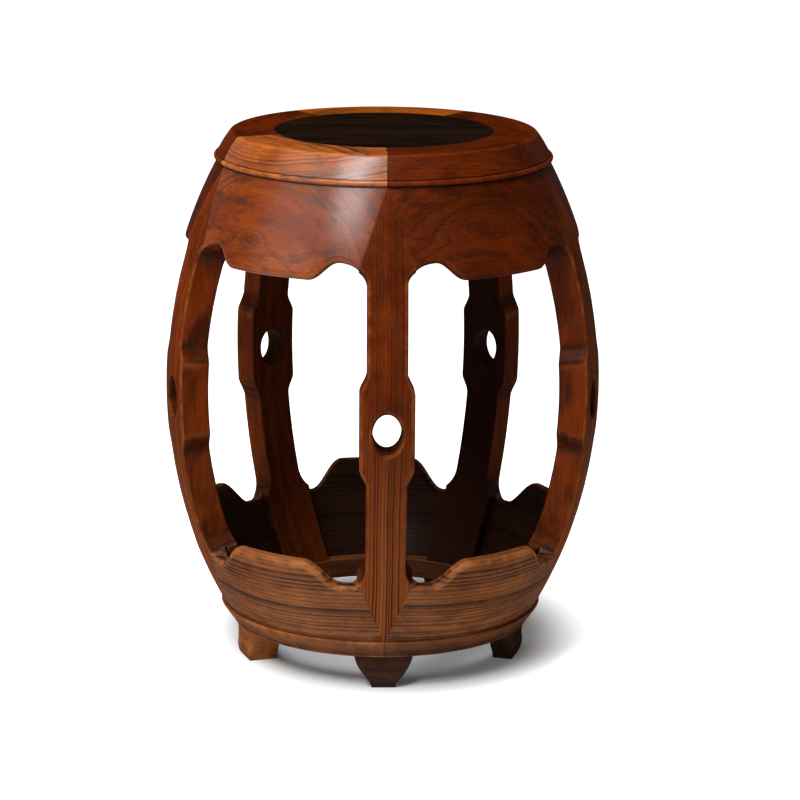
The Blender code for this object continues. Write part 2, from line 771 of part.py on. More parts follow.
def place_seat_frame(material, parent, collection, cutters):
    """Five arcs; those over the batten's ends are notched for it."""
    for number in range(LEG_COUNT):
        turn = PITCH / 2 + PITCH * number
        brace_turns = []
        for brace_end in (math.pi / 2, 3 * math.pi / 2):
            if abs(brace_end - turn) < PITCH / 2:
                brace_turns.append(-turn)
        name = "seat_frame_%d" % (number + 1)
        mesh = finished_mesh(name, seat_frame_segment(brace_turns, cutters))
        place(name, mesh, material, turn, parent, collection)
        bpy.data.meshes.remove(mesh)


def build():
    for obj in list(bpy.data.objects):
        bpy.data.objects.remove(obj)
    scene = bpy.context.scene
    stool = bpy.data.collections.new("drum_stool")
    cutters = bpy.data.collections.new("cutters")
    scene.collection.children.link(stool)
    scene.collection.children.link(cutters)
    root = bpy.data.objects.new("drum_stool_root", None)
    stool.objects.link(root)

    frame_wood = wood("seat_frame_wood", ORANGE_BROWN)
    panel_wood = wood("seat_panel_wood", NEAR_BLACK)
    brace_wood = wood("seat_brace_wood", DARK_BROWN)
    upper_wood = wood("upper_apron_wood", RED_BROWN)
    leg_wood = wood("leg_wood", RED_BROWN)
    lower_wood = wood("lower_apron_wood", ORANGE_BROWN)
    ring_wood = wood("base_ring_wood", ORANGE_BROWN)
    foot_wood = wood("foot_wood", DARK_BROWN)

    place_seat_frame(frame_wood, root, stool, cutters)
    place("seat_panel", finished_mesh("seat_panel", seat_panel_body()), panel_wood, 0, root, stool)
    place("seat_brace", finished_mesh("seat_brace", seat_brace_body()), brace_wood, 0, root, stool)
    half = PITCH / 2
    place_round("upper_apron", apron_body(UPPER, cutters), upper_wood, half, root, stool)
    place_round("leg", leg_body(cutters), leg_wood, 0, root, stool)
    place_round("lower_apron", apron_body(LOWER, cutters), lower_wood, half, root, stool)
    place_round("base_ring", base_ring_segment(cutters), ring_wood, half, root, stool)
    place_round("foot", foot_body(cutters), foot_wood, 0, root, stool)
    bpy.context.view_layer.update()


build()
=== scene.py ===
# Looks of the five-legged drum stool: fine shaped pieces, streaked hardwood, studio light.
# Metres, Z up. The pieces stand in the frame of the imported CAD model.

import math

import bmesh
import bpy
from mathutils import Matrix, Vector


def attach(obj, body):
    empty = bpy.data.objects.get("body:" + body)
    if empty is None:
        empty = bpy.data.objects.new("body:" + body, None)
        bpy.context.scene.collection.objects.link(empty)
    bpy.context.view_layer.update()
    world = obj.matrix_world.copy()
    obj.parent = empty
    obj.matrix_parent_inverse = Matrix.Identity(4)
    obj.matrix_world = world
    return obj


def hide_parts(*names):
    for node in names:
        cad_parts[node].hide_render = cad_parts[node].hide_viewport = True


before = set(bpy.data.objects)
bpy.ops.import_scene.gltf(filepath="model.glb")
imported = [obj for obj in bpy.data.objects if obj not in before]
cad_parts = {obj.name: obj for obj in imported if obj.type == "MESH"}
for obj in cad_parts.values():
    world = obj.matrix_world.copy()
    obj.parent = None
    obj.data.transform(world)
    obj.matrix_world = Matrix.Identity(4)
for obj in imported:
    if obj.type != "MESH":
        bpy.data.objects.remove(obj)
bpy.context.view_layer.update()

# Whole stool
STOOL_HEIGHT = 0.480
LEG_COUNT = 5
FIT_GAP = 0.0003
JOINT_GAP = 0.00008
PITCH = 2 * math.pi / LEG_COUNT

# Barrel: one arc through these three radii
TOP_RADIUS = 0.1485
BELLY_RADIUS = 0.198
BASE_RADIUS = 0.1439
SEAT_UNDERSIDE = STOOL_HEIGHT - 0.026
RING_TOP = 0.0475
RING_UNDERSIDE = RING_TOP - 0.017

# Paths that the profiles of the seat frame and the base ring follow
SEAT_PATH_RADIUS = 0.125
RING_PATH_RADIUS = 0.130

# Seat
PANEL_RADIUS = 0.097
PANEL_THICKNESS = 0.017
TONGUE_LENGTH = 0.008
TONGUE_TOP = STOOL_HEIGHT - 0.009
TONGUE_THICKNESS = 0.005
BEAD_CENTRE_RADIUS = 0.1493
BEAD_RADIUS = 0.0022
BEAD_CENTRE_HEIGHT = SEAT_UNDERSIDE + 0.0034
BEVEL_WIDTH = 0.0120
BEVEL_FOOT = BEAD_CENTRE_HEIGHT + BEAD_RADIUS + 0.0009
BEVEL_SWELL = 0.0005
TOP_ROUNDING = 0.0045
QUIRK_DEPTH = 0.0017
QUIRK_HEIGHT = 0.0012
TOP_EASE = 0.0007
BEAD_QUIRK = 0.0005
BEAD_START = math.radians(112)

# Base ring and feet
RING_OUTER_RADIUS = 0.1463
RING_INNER_RADIUS = 0.111
RING_LIP = 0.0024
RING_ROUNDING = 0.0016
RING_INNER_ROUNDING = 0.0022
FOOT_SETBACK = 0.0063
FOOT_DEPTH = 0.0195
FOOT_TOE = 0.0018
FOOT_TOP_HALF_WIDTH = 0.0262
FOOT_SOLE_HALF_WIDTH = 0.0110
FOOT_SOLE_HEIGHT = 0.0022
FOOT_SOLE_EASE = 0.0004
FOOT_ROUNDING = 0.0011
BIG_FOOT_DEPTH = 0.0255
BIG_FOOT_SOLE_HALF_WIDTH = 0.0150

# Legs and aprons
APRON_THICKNESS = 0.015
LEG_DEPTH = 0.026
ARRIS = 0.002
MITRE_EASE = 0.00012
MITRE_EASE_GROWTH = 12
MITRE_FOOT_SHARE = 1.15
MITRE_PULL_POWER = 8
JOINT_EASE_POWER = 3
EDGE_ROUNDING = 0.0054
EDGE_BACK_ROUNDING = 0.0090
SHANK_HALF_WIDTH = 0.0175
KNEE_HALF_WIDTH = 0.0238
KNEE_CENTRE = 0.25075
KNEE_HALF_LENGTH = 0.0505
KNEE_SHOULDER = 0.0175
HOLE_CENTRE = 0.24895
BORE_HALF_WIDTH = 0.0126
BORE_HALF_HEIGHT = 0.0178
HOLE_FLARE = 0.0029
HOLE_FLARE_DEPTH = 0.0026
HOLE_BACK_FLARE = 0.0009
HOLE_FIELD_HALF_HEIGHT = 0.0285
POST_START_DEPTH = APRON_THICKNESS + 0.0008
POST_HALF_WIDTH = 0.0243
POST_INSET = 0.0005
POST_ROUNDING = 0.001
POST_PROUD = 0.00004

# Dirt and painted shade on the legs: its strength, how far it spreads and where it ends
BORE_DIRT_AND_SHADE = 0.9
BORE_DIRT_AND_SHADE_SHARE = 1.12
SHOULDER_GRIME = 0.8
HOLLOW_DIRT_AND_SHADE_SHARE = 1.25
HOLLOW_DIRT_AND_SHADE_LENGTH = 0.01
CLEAN_BACK = 0.0005
CLEAN_FLANK = 0.001

# Curves of the knee's shoulders and of the feet: how far along, and how far out
KNEE_SHOULDER_SHARES = ((0, 0), (0.12, 0.05), (0.28, 0.2), (0.45, 0.42), (0.62, 0.65), (0.76, 0.83),
                        (0.88, 0.94), (1, 1))
FOOT_SIDE_SHARES = ((0, 0), (0.09, 0.06), (0.22, 0.22), (0.4, 0.5), (0.62, 0.77), (0.82, 0.92),
                    (1, 1))
FOOT_FRONT_SHARES = ((0, -0.8), (0.08, -0.1), (0.17, 0.6), (0.3, 1), (0.42, 0.8), (0.62, -0.1),
                     (1, 0))
BIG_FOOT_FRONT_SHARES = ((0, 0.2), (0.07, 0.9), (0.16, 1.3), (0.3, 1.2), (0.5, 0.3), (0.7, -0.1),
                         (1, 0))

# Mesh fineness
MERGE_DISTANCE = 0.00001
ARRIS_STEPS = 4
SWING_STEPS = 21
LEG_CURVE_STEPS = 8
FLANK_STEPS = 12
POST_CURVE_STEPS = 8
ARC_STEPS = 40
PANEL_STEPS = 120
HOLD = 0.0002
SMOOTH_ANGLE = math.radians(38)
WORN_ANGLE = math.radians(12)
CRISP_ANGLE = math.radians(60)
FINEST_ARRIS = 0.0003
ACROSS_LEG_SHARES = (0, 0.045, 0.12, 0.22, 0.32, 0.41, 0.5, 0.59, 0.68, 0.78, 0.88, 0.955, 1)
ACROSS_POST_SHARES = (0, 0.1, 0.5, 0.9, 1)
APRON_COLUMN_SHARES = (0.17, 0.26, 0.36, 0.47, 0.58, 0.69, 0.8, 0.9, 0.97, 1)
LEG_POINT_SHARES = (0, 0.12, 0.3, 0.5, 0.7, 0.87)
SHANK_SHARES = (0.25, 0.5, 0.75, 0.93)
POST_END_SHARES = (0.05, 0.33, 0.66, 1)
APRON_MIDDLE_SHARES = (0, 0.25, 0.5, 0.75)
BEVEL_SHARES = (0.1, 0.3, 0.5, 0.7, 0.9, 1)
HOLE_RIM_SHARES = (0.7, 0.42, 0.2, 0.07, 0)


def side_arc():
    """Height of the belly, and radius of the arc through the top, the belly and the base."""
    top_draw = BELLY_RADIUS - TOP_RADIUS
    base_draw = BELLY_RADIUS - BASE_RADIUS
    span = SEAT_UNDERSIDE - RING_TOP
    square = span * span + base_draw * base_draw - base_draw * top_draw
    root = math.sqrt(top_draw * top_draw * span * span + (base_draw - top_draw) * top_draw * square)
    top_rise = top_draw * square / (top_draw * span + root)
    return SEAT_UNDERSIDE - top_rise, (top_rise * top_rise + top_draw * top_draw) / (2 * top_draw)


BELLY_HEIGHT, SIDE_ARC_RADIUS = side_arc()
ARC_CENTRE = BELLY_RADIUS - SIDE_ARC_RADIUS


def barrel_radius(height, depth=0):
    arc = SIDE_ARC_RADIUS - depth
    return ARC_CENTRE + math.sqrt(arc * arc - (height - BELLY_HEIGHT) ** 2)


def along_side(height, depth=0):
    """Length along the barrel's side from the belly to a height, at a depth in the wood."""
    return SIDE_ARC_RADIUS * math.asin((height - BELLY_HEIGHT) / (SIDE_ARC_RADIUS - depth))


def side_point(length, depth):
    turn = length / SIDE_ARC_RADIUS
    arc = SIDE_ARC_RADIUS - depth
    return ARC_CENTRE + arc * math.cos(turn), BELLY_HEIGHT + arc * math.sin(turn)


class ShapedEdge:
    """The shaped edge of an upper or a lower apron, and the pointed end of the leg beside it."""

    def __init__(self, joint, side, lobe_depth, arch_depth, crown_start, crown_length, swing_length,
                 leg_curve, mitre_share):
        self.joint = joint
        self.side = side
        self.lobe = joint - side * lobe_depth
        self.arch = joint - side * arch_depth
        self.crown_start = crown_start
        self.crown_end = crown_start + crown_length
        self.lobe_start = self.crown_end + swing_length
        self.leg_curve = leg_curve
        self.mitre_turn = math.acos(1 - mitre_share)
        foot_width, foot_height = self.leg_curve_point(self.mitre_turn)
        self.apex = along_side(joint)
        self.mitre_foot = along_side(foot_height)
        self.mitre_slope = foot_width / abs(self.apex - self.mitre_foot)

    def leg_curve_point(self, turn):
        """Distance from the leg's middle and height, on the curve from crown to leg."""
        from_leg = self.crown_start - (self.crown_start - SHANK_HALF_WIDTH) * math.sin(turn)
        return from_leg, self.arch - self.side * self.leg_curve * (1 - math.cos(turn))

    def mitre_half_width(self, length):
        """Half width of the leg's point at a length along the side."""
        return self.mitre_slope * max(0, self.side * (self.apex - length))


UPPER = ShapedEdge(
    SEAT_UNDERSIDE, 1, lobe_depth=0.076, arch_depth=0.0604, crown_start=0.042, crown_length=0.001,
    swing_length=0.029, leg_curve=0.0176, mitre_share=0.3,
)
LOWER_FRONT, LOWER, LOWER_REAR = [ShapedEdge(
    RING_TOP, -1, lobe_depth=lobe_depth, arch_depth=0.0562, crown_start=0.032, crown_length=0.007,
    swing_length=0.0385, leg_curve=0.020, mitre_share=0.205,
) for lobe_depth in (0.0772, 0.0805, 0.0825)]


# Mesh helpers

def arc_points(centre, across, up, start, end, steps):
    points = []
    for step in range(steps + 1):
        turn = start + (end - start) * step / steps
        points.append((centre[0] + across * math.cos(turn), centre[1] + up * math.sin(turn)))
    return points


def smooth_curve(knots, steps):
    """Points on a smooth curve through the knots."""
    points = []
    padded = [knots[0]] + list(knots) + [knots[-1]]
    for a, b, c, d in zip(padded, padded[1:], padded[2:], padded[3:]):
        for step in range(steps):
            t = step / steps
            points.append(tuple(
                0.5 * (2 * q + (r - p) * t + (2 * p - 5 * q + 4 * r - s) * t * t
                       + (3 * q - p - 3 * r + s) * t ** 3)
                for p, q, r, s in zip(a, b, c, d)
            ))
    return points + [tuple(knots[-1])]


def surface_turn(edge):
    """Angle by which the surface turns at an edge, above zero where it stands proud."""
    if len(edge.link_faces) != 2:
        return 0
    width = min(face.calc_area() for face in edge.link_faces) / edge.calc_length()
    turn = edge.calc_face_angle_signed(0)
    return 0 if width < FINEST_ARRIS or turn > CRISP_ANGLE else turn


def mark_age(bm):
    """Marks the points where hands and seats wear the wood, and the creases that are painted dark as
    dirt and painted shade.
    """
    marks = bm.verts.layers.float
    wear = marks.get("wear") or marks.new("wear")
    dirt_and_shade = marks.get("dirt_and_shade") or marks.new("dirt_and_shade")
    for vert in bm.verts:
        turns = [surface_turn(edge) for edge in vert.link_edges]
        vert[wear] = min(1, max(0, max(turns)) / WORN_ANGLE)
        # concave creases: dirt and painted shade
        vert[dirt_and_shade] = min(1, max(0, -min(turns)) / WORN_ANGLE)


def finished(name, bm):
    """Closed, outward-facing mesh with soft arrises and crisp joints."""
    bmesh.ops.remove_doubles(bm, verts=bm.verts[:], dist=MERGE_DISTANCE)
    bmesh.ops.dissolve_degenerate(bm, dist=MERGE_DISTANCE, edges=bm.edges[:])
    bmesh.ops.recalc_face_normals(bm, faces=bm.faces[:])
    mark_age(bm)
    mesh = bpy.data.meshes.new(name)
    bm.to_mesh(mesh)
    bm.free()
    mesh.shade_smooth()
    mesh.set_sharp_from_angle(angle=SMOOTH_ANGLE)
    return mesh


class Board:
    """A shaped board: a flat layout of points, and where each comes at every depth."""

    def __init__(self):
        self.points = []
        self.back_points = {}
        self.back_roundings = {}
        self.faces = []
        self.loops = []

    def row(self, places):
        first = len(self.points)
        self.points += places
        return list(range(first, first + len(places)))

    def join(self, lower, upper):
        for a, b, c, d in zip(lower, lower[1:], upper[1:], upper):
            self.faces.append((a, b, c, d))

    def body(self, near, far, bend):
        """Closed body between two depths; each loop is rounded over from face to edge."""
        bm = bmesh.new()
        back_points = list(self.points)
        for index, place in self.back_points.items():
            back_points[index] = place
        front = [bm.verts.new(bend(x, y, near)) for x, y in self.points]
        back = [bm.verts.new(bend(x, y, far)) for x, y in back_points]
        for face in self.faces:
            bm.faces.new([front[i] for i in face])
            bm.faces.new([back[i] for i in reversed(face)])
        for loop in self.loops:
            rows = [[front[index] for index, outline, rounding in loop]]
            for side, inset, deep, hold in edge_rows():
                row = []
                for index, outline, rounding in loop:
                    face_point = Vector((self.points if side > 0 else back_points)[index])
                    if side < 0:
                        rounding = self.back_roundings.get(index, rounding)
                    place = Vector(outline).lerp(face_point, inset)
                    depth = (near if side > 0 else far) + side * (rounding * deep + hold)
                    row.append(bm.verts.new(bend(place.x, place.y, depth)))
                rows.append(row)
            rows.append([back[index] for index, outline, rounding in loop])
            for upper, lower in zip(rows, rows[1:]):
                for i in range(len(loop)):
                    bm.faces.new((upper[i - 1], upper[i], lower[i], lower[i - 1]))
        return bm


def edge_rows():
    """Rows over a board's edge: side, shares of the rounding's inset and depth, and hold past it."""
    turns = [math.pi / 2 * step / ARRIS_STEPS for step in range(1, ARRIS_STEPS + 1)]
    front = [(1, 1 - math.sin(turn), 1 - math.cos(turn), 0) for turn in turns] + [(1, 0, 1, HOLD)]
    back = [(-1, inset, deep, hold) for side, inset, deep, hold in reversed(front)]
    return front + back


def inwards(outline, index):
    """Unit vector square to an outline, to the left of its run."""
    before = Vector(outline[max(0, index - 1)])
    after = Vector(outline[min(len(outline) - 1, index + 1)])
    run = (after - before).normalized()
    return Vector((-run.y, run.x))


# Aprons

def apron_limit(edge, length, depth):
    """Half width of an apron at a length and a depth, measured round the belly."""
    half_width = edge.mitre_half_width(length) + JOINT_GAP * math.sqrt(1 + edge.mitre_slope ** 2)
    radius = side_point(length, depth)[0]
    return BELLY_RADIUS * (PITCH / 2 - math.asin(half_width / radius))


def on_apron(edge):
    """Where a point of an apron's layout comes: round the barrel, and cut square to the joint."""
    joint_height = edge.joint - edge.side * FIT_GAP
    joint = along_side(joint_height)
    lobe = along_side(edge.lobe)

    def bend(x, y, depth):
        rise = max(0, (y - lobe) / (joint - lobe))
        length = y + (along_side(joint_height, depth) - joint) * rise ** JOINT_EASE_POWER
        share = min(1, abs(x) / apron_limit(edge, y, 0))
        pull = apron_limit(edge, y, 0) - apron_limit(edge, length, depth)
        turn = math.copysign(abs(x) - pull * share ** MITRE_PULL_POWER, x) / BELLY_RADIUS
        radius, height = side_point(length, depth)
        return Vector((radius * math.sin(turn), -radius * math.cos(turn), height))

    return bend


def apron_edge_points(edge):
    """Half of the shaped edge from the middle to the mitre, round the belly and along the side."""
    places = []
    for step in range(SWING_STEPS + 1):
        share = step / SWING_STEPS
        swing = (1 - math.cos(math.pi * share)) / 2
        from_leg = edge.lobe_start + (edge.crown_end - edge.lobe_start) * share
        places.append((from_leg, edge.lobe + (edge.arch - edge.lobe) * swing))
    for step in range(LEG_CURVE_STEPS + 1):
        places.append(edge.leg_curve_point(edge.mitre_turn * step / LEG_CURVE_STEPS))
    points = []
    for from_leg, height in places:
        across = BELLY_RADIUS * (PITCH / 2 - from_leg / barrel_radius(height))
        points.append((across, along_side(height)))
    middle, level = points[0]
    return [(middle * share, level) for share in APRON_MIDDLE_SHARES] + points


def apron_column(edge, outline, index, rounding):
    """Points up an apron's flat face, from one place of its shaped edge to the joint."""
    x, y = outline[index]
    at_mitre = index in (0, len(outline) - 1)
    joint = along_side(edge.joint - edge.side * FIT_GAP)
    joint_width = apron_limit(edge, joint, 0)
    if at_mitre:
        corner = Vector((math.copysign(joint_width, x), joint))
        step = (corner - Vector((x, y))).normalized() * rounding * MITRE_FOOT_SHARE
    else:
        step = inwards(outline, index) * rounding * edge.side
    start = Vector((x, y)) + step
    end = Vector((x / outline[-1][0] * (joint_width - MITRE_EASE), joint - edge.side * MITRE_EASE))
    span = (end - start).length
    column = []
    for stop in (0, HOLD / span, 4 * HOLD / span, *APRON_COLUMN_SHARES):
        place = start + (end - start) * stop
        if at_mitre:
            ease = MITRE_EASE * min(1, stop * MITRE_EASE_GROWTH)
            place.x = math.copysign(apron_limit(edge, place.y, 0) - ease, x)
        column.append((place.x, place.y))
    return column


def apron_loop(board, edge, outline, columns, roundings):
    """The apron's edge: along its shaped edge, up a mitre, back along the joint and down again."""
    joint = along_side(edge.joint - edge.side * FIT_GAP)

    def mitre_item(index):
        x, y = board.points[index]
        return index, (math.copysign(apron_limit(edge, y, 0), x), y), MITRE_EASE

    feet = [column[0] for column in columns]
    loop = list(zip(feet, outline, roundings))
    loop += [mitre_item(index) for index in columns[-1][1:-1]]
    for column in reversed(columns):
        x, y = board.points[column[-1]]
        if column in (columns[0], columns[-1]):
            x = math.copysign(apron_limit(edge, joint, 0), x)
        loop.append((column[-1], (x, joint), MITRE_EASE))
    return loop + [mitre_item(index) for index in columns[0][-2:0:-1]]


def apron_mesh(kind, edge):
    half = apron_edge_points(edge)
    outline = [(-x, y) for x, y in reversed(half[1:])] + half
    last = len(outline) - 1
    board = Board()
    columns = []
    roundings = []
    for index in range(last + 1):
        from_mitre = min(1, min(index, last - index) / LEG_CURVE_STEPS)
        rounding = ARRIS + (EDGE_ROUNDING - ARRIS) * from_mitre
        back_rounding = ARRIS + (EDGE_BACK_ROUNDING - ARRIS) * from_mitre
        column = board.row(apron_column(edge, outline, index, rounding))
        board.back_points.update(zip(column, apron_column(edge, outline, index, back_rounding)))
        board.back_roundings[column[0]] = back_rounding
        columns.append(column)
        roundings.append(rounding)
    for left, right in zip(columns, columns[1:]):
        board.join(left, right)
    board.loops.append(apron_loop(board, edge, outline, columns, roundings))
    return finished(kind, board.body(0, APRON_THICKNESS, on_apron(edge)))


# Legs

def on_leg(x, y, depth):
    """Where a point of a leg's layout comes: bent along the side, its flanks parallel."""
    radius, height = side_point(y, depth)
    return Vector((x, -math.sqrt(radius * radius - x * x), height))


def flank_end(edge):
    """Right-hand outline of a leg's end, from its point to the knee, with each place's rounding."""
    flank = []
    for share in LEG_POINT_SHARES:
        length = edge.apex + (edge.mitre_foot - edge.apex) * share
        flank.append((edge.mitre_half_width(length), length, MITRE_EASE))
    for step in range(FLANK_STEPS + 1):
        turn = edge.mitre_turn + (math.pi / 2 - edge.mitre_turn) * step / FLANK_STEPS
        width, height = edge.leg_curve_point(turn)
        flank.append((width, along_side(height), ARRIS))
    shank = flank[-1][1]
    knee = along_side(KNEE_CENTRE + edge.side * KNEE_HALF_LENGTH)
    for share in SHANK_SHARES:
        flank.append((SHANK_HALF_WIDTH, shank + (knee - shank) * share, ARRIS))
    for along, out in KNEE_SHOULDER_SHARES:
        height = KNEE_CENTRE + edge.side * (KNEE_HALF_LENGTH - KNEE_SHOULDER * along)
        width = SHANK_HALF_WIDTH + (KNEE_HALF_WIDTH - SHANK_HALF_WIDTH) * out
        flank.append((width, along_side(height), ARRIS))
    return flank


def hole_field():
    """Lower and upper end of the field round the leg's hole, along the side."""
    return [along_side(HOLE_CENTRE + side * HOLE_FIELD_HALF_HEIGHT) for side in (-1, 1)]


def leg_flank():
    """Right-hand outline of the whole leg, from the lower point to the upper one."""
    low, high = hole_field()
    knee = [(KNEE_HALF_WIDTH, low + (high - low) * share, ARRIS) for share in ACROSS_LEG_SHARES]
    return flank_end(LOWER) + knee + flank_end(UPPER)[::-1]


def leg_face_edge(flank):
    """Right-hand edge of the leg's flat face, one rounding inside its outline."""
    outline = [(x, y) for x, y, rounding in flank]
    inner = []
    for index, (x, y, rounding) in enumerate(flank):
        step = inwards(outline, index) * rounding
        edge = UPPER if y > 0 else LOWER
        if abs(y - edge.mitre_foot) < MERGE_DISTANCE:
            step = (Vector((0, edge.apex)) - Vector((x, y))).normalized() * ARRIS * MITRE_FOOT_SHARE
        inner.append((max(0, x + step.x), y + step.y))
    return inner


def on_oval(turn, grown):
    """A point of the leg's oval hole at an angle, the oval grown by a width."""
    return Vector(((BORE_HALF_WIDTH + grown) * math.cos(turn),
                   along_side(HOLE_CENTRE) + (BORE_HALF_HEIGHT + grown) * math.sin(turn)))


def cut_hole(board, ring):
    """Rims from the ring of points round the hole's field down to the bore, and the bore."""
    turns = [math.pi * (2 * index / len(ring) - 0.75) for index in range(len(ring))]
    rims = [ring]
    for share in HOLE_RIM_SHARES:
        rim = []
        for turn, outer in zip(turns, ring):
            near = on_oval(turn, HOLE_FLARE)
            rim.append(tuple(near + (Vector(board.points[outer]) - near) * share))
        rims.append(board.row(rim))
    for outer, inner in zip(rims, rims[1:]):
        board.join(outer + outer[:1], inner + inner[:1])
    bore = []
    for turn, index in zip(turns, rims[-1]):
        bore.append((index, tuple(on_oval(turn, 0)), HOLE_FLARE_DEPTH))
        board.back_points[index] = tuple(on_oval(turn, HOLE_BACK_FLARE))
        board.back_roundings[index] = HOLE_BACK_FLARE
    board.loops.append(bore[::-1])


def leg_board():
    """The leg's pointed face with its oval hole."""
    flank = leg_flank()
    low, high = hole_field()
    board = Board()
    rows = []
    for (x, y), (outline_x, outline_y, rounding) in zip(leg_face_edge(flank), flank):
        in_field = low + MERGE_DISTANCE < outline_y < high - MERGE_DISTANCE
        shares = (0, 1) if in_field else ACROSS_LEG_SHARES
        rows.append(board.row([(x * (2 * share - 1), y) for share in shares]))
    for lower, upper in zip(rows, rows[1:]):
        if len(lower) == len(upper) == len(ACROSS_LEG_SHARES):
            board.join(lower, upper)
    both = list(zip(rows, flank))
    right = [(row[-1], (x, y), rounding) for row, (x, y, rounding) in both]
    left = [(row[0], (-x, y), rounding) for row, (x, y, rounding) in reversed(both)]
    board.loops.append(right + left)
    field = [row for row, (x, y, rounding) in both
             if low - MERGE_DISTANCE < y < high + MERGE_DISTANCE]
    up = [row[-1] for row in field[1:-1]]
    down = [row[0] for row in field[-2:0:-1]]
    cut_hole(board, field[0] + up + field[-1][::-1] + down)
    return board


def post_body(edge):
    """The leg's full-width end behind the aprons, which widens along the leg's own curve."""
    joint_height = edge.joint - edge.side * FIT_GAP
    joint = along_side(joint_height)
    spread = edge.crown_start - SHANK_HALF_WIDTH
    last_turn = math.asin((edge.crown_start - POST_HALF_WIDTH - POST_INSET) / spread)
    places = []
    for step in range(POST_CURVE_STEPS + 1):
        turn = math.pi / 2 + (last_turn - math.pi / 2) * step / POST_CURVE_STEPS
        from_leg, height = edge.leg_curve_point(turn)
        places.append((from_leg - POST_INSET, along_side(height)))
    start = places[0][1]
    end_of_curve = places[-1][1]
    for share in POST_END_SHARES:
        places.append((POST_HALF_WIDTH, end_of_curve + (joint - end_of_curve) * share))
    if edge.side < 0:
        places.reverse()
    board = Board()
    rows = []
    for x, y in places:
        y_inner = y
        if abs(y - joint) < MERGE_DISTANCE:
            y_inner = y - edge.side * MITRE_EASE
        if abs(y - start) < MERGE_DISTANCE:
            y_inner = y + edge.side * POST_ROUNDING
        reach = x - POST_ROUNDING
        rows.append(board.row([(reach * (2 * share - 1), y_inner) for share in ACROSS_POST_SHARES]))
    for lower, upper in zip(rows, rows[1:]):
        board.join(lower, upper)

    def end_items(row, y):
        return [(index, (board.points[index][0], y), POST_ROUNDING) for index in row[1:-1]]

    right = [(row[-1], place, POST_ROUNDING) for row, place in zip(rows, places)]
    left = [(row[0], (-x, y), POST_ROUNDING) for row, (x, y) in reversed(list(zip(rows, places)))]
    top = end_items(rows[-1], places[-1][1])
    board.loops.append(right + top[::-1] + left + end_items(rows[0], places[0][1]))

    def bend(x, y, depth):
        rise = min(1, max(0, (y - start) / (joint - start)))
        shift = (along_side(joint_height, depth) - joint) * rise ** JOINT_EASE_POWER
        return on_leg(x, y + shift, depth)

    return board.body(POST_START_DEPTH, LEG_DEPTH, bend)


def leg_mesh():
    """The leg's pointed blade joined to the two posts behind the aprons."""
    blade = finished("leg_blade", leg_board().body(0, LEG_DEPTH - POST_PROUD, on_leg))
    body = bpy.data.objects.new("leg_blade", blade)
    bpy.context.collection.objects.link(body)
    for edge in (UPPER, LOWER):
        post = bpy.data.objects.new("leg_post", finished("leg_post", post_body(edge)))
        bpy.context.collection.objects.link(post)
        union = body.modifiers.new("post", "BOOLEAN")
        union.object = post
        union.operation = "UNION"
        union.solver = "EXACT"
    bpy.context.view_layer.update()
    depsgraph = bpy.context.evaluated_depsgraph_get()
    bm = bmesh.new()
    joined = bpy.data.meshes.new_from_object(body.evaluated_get(depsgraph))
    bm.from_mesh(joined)
    for used in [body] + [modifier.object for modifier in body.modifiers]:
        bpy.data.objects.remove(used)
    bpy.data.meshes.remove(joined)
    leg = finished("leg", bm)
    mark_leg_dirt_and_shade(leg)
    return leg


def mark_leg_dirt_and_shade(mesh):
    """Dirt on the knee's shoulders; dirt and painted shade in the leg's bore and in the hollows
    under the aprons.
    """
    hole = along_side(HOLE_CENTRE)
    shoulders = (KNEE_CENTRE - KNEE_HALF_LENGTH, KNEE_CENTRE + KNEE_HALF_LENGTH - KNEE_SHOULDER)
    for vertex, mark in zip(mesh.vertices, mesh.attributes["dirt_and_shade"].data):
        x, y, z = vertex.co
        from_centre = math.hypot(x, y) - ARC_CENTRE
        depth = SIDE_ARC_RADIUS - math.hypot(from_centre, z - BELLY_HEIGHT)
        length = SIDE_ARC_RADIUS * math.atan2(z - BELLY_HEIGHT, from_centre)
        # the bore is painted dark: dirt and painted shade
        if math.hypot(x / BORE_HALF_WIDTH, (length - hole) / BORE_HALF_HEIGHT) < BORE_DIRT_AND_SHADE_SHARE:
            mark.value = max(mark.value, BORE_DIRT_AND_SHADE)
        if not ARRIS < depth < LEG_DEPTH - CLEAN_BACK or abs(x) < SHANK_HALF_WIDTH - CLEAN_FLANK:
            continue
        for shoulder in shoulders:
            if along_side(shoulder) < length < along_side(shoulder + KNEE_SHOULDER):
                mark.value = max(mark.value, SHOULDER_GRIME)
        # the hollows under the aprons are painted dark: dirt and painted shade
        for edge in (UPPER, LOWER):
            hollow = along_side(edge.arch - edge.side * HOLLOW_DIRT_AND_SHADE_SHARE * edge.leg_curve)
            beyond = edge.side * (length - hollow)
            mark.value = max(mark.value, min(1, beyond / HOLLOW_DIRT_AND_SHADE_LENGTH))


# Seat frame and base ring: a profile led round an arc by geometry nodes

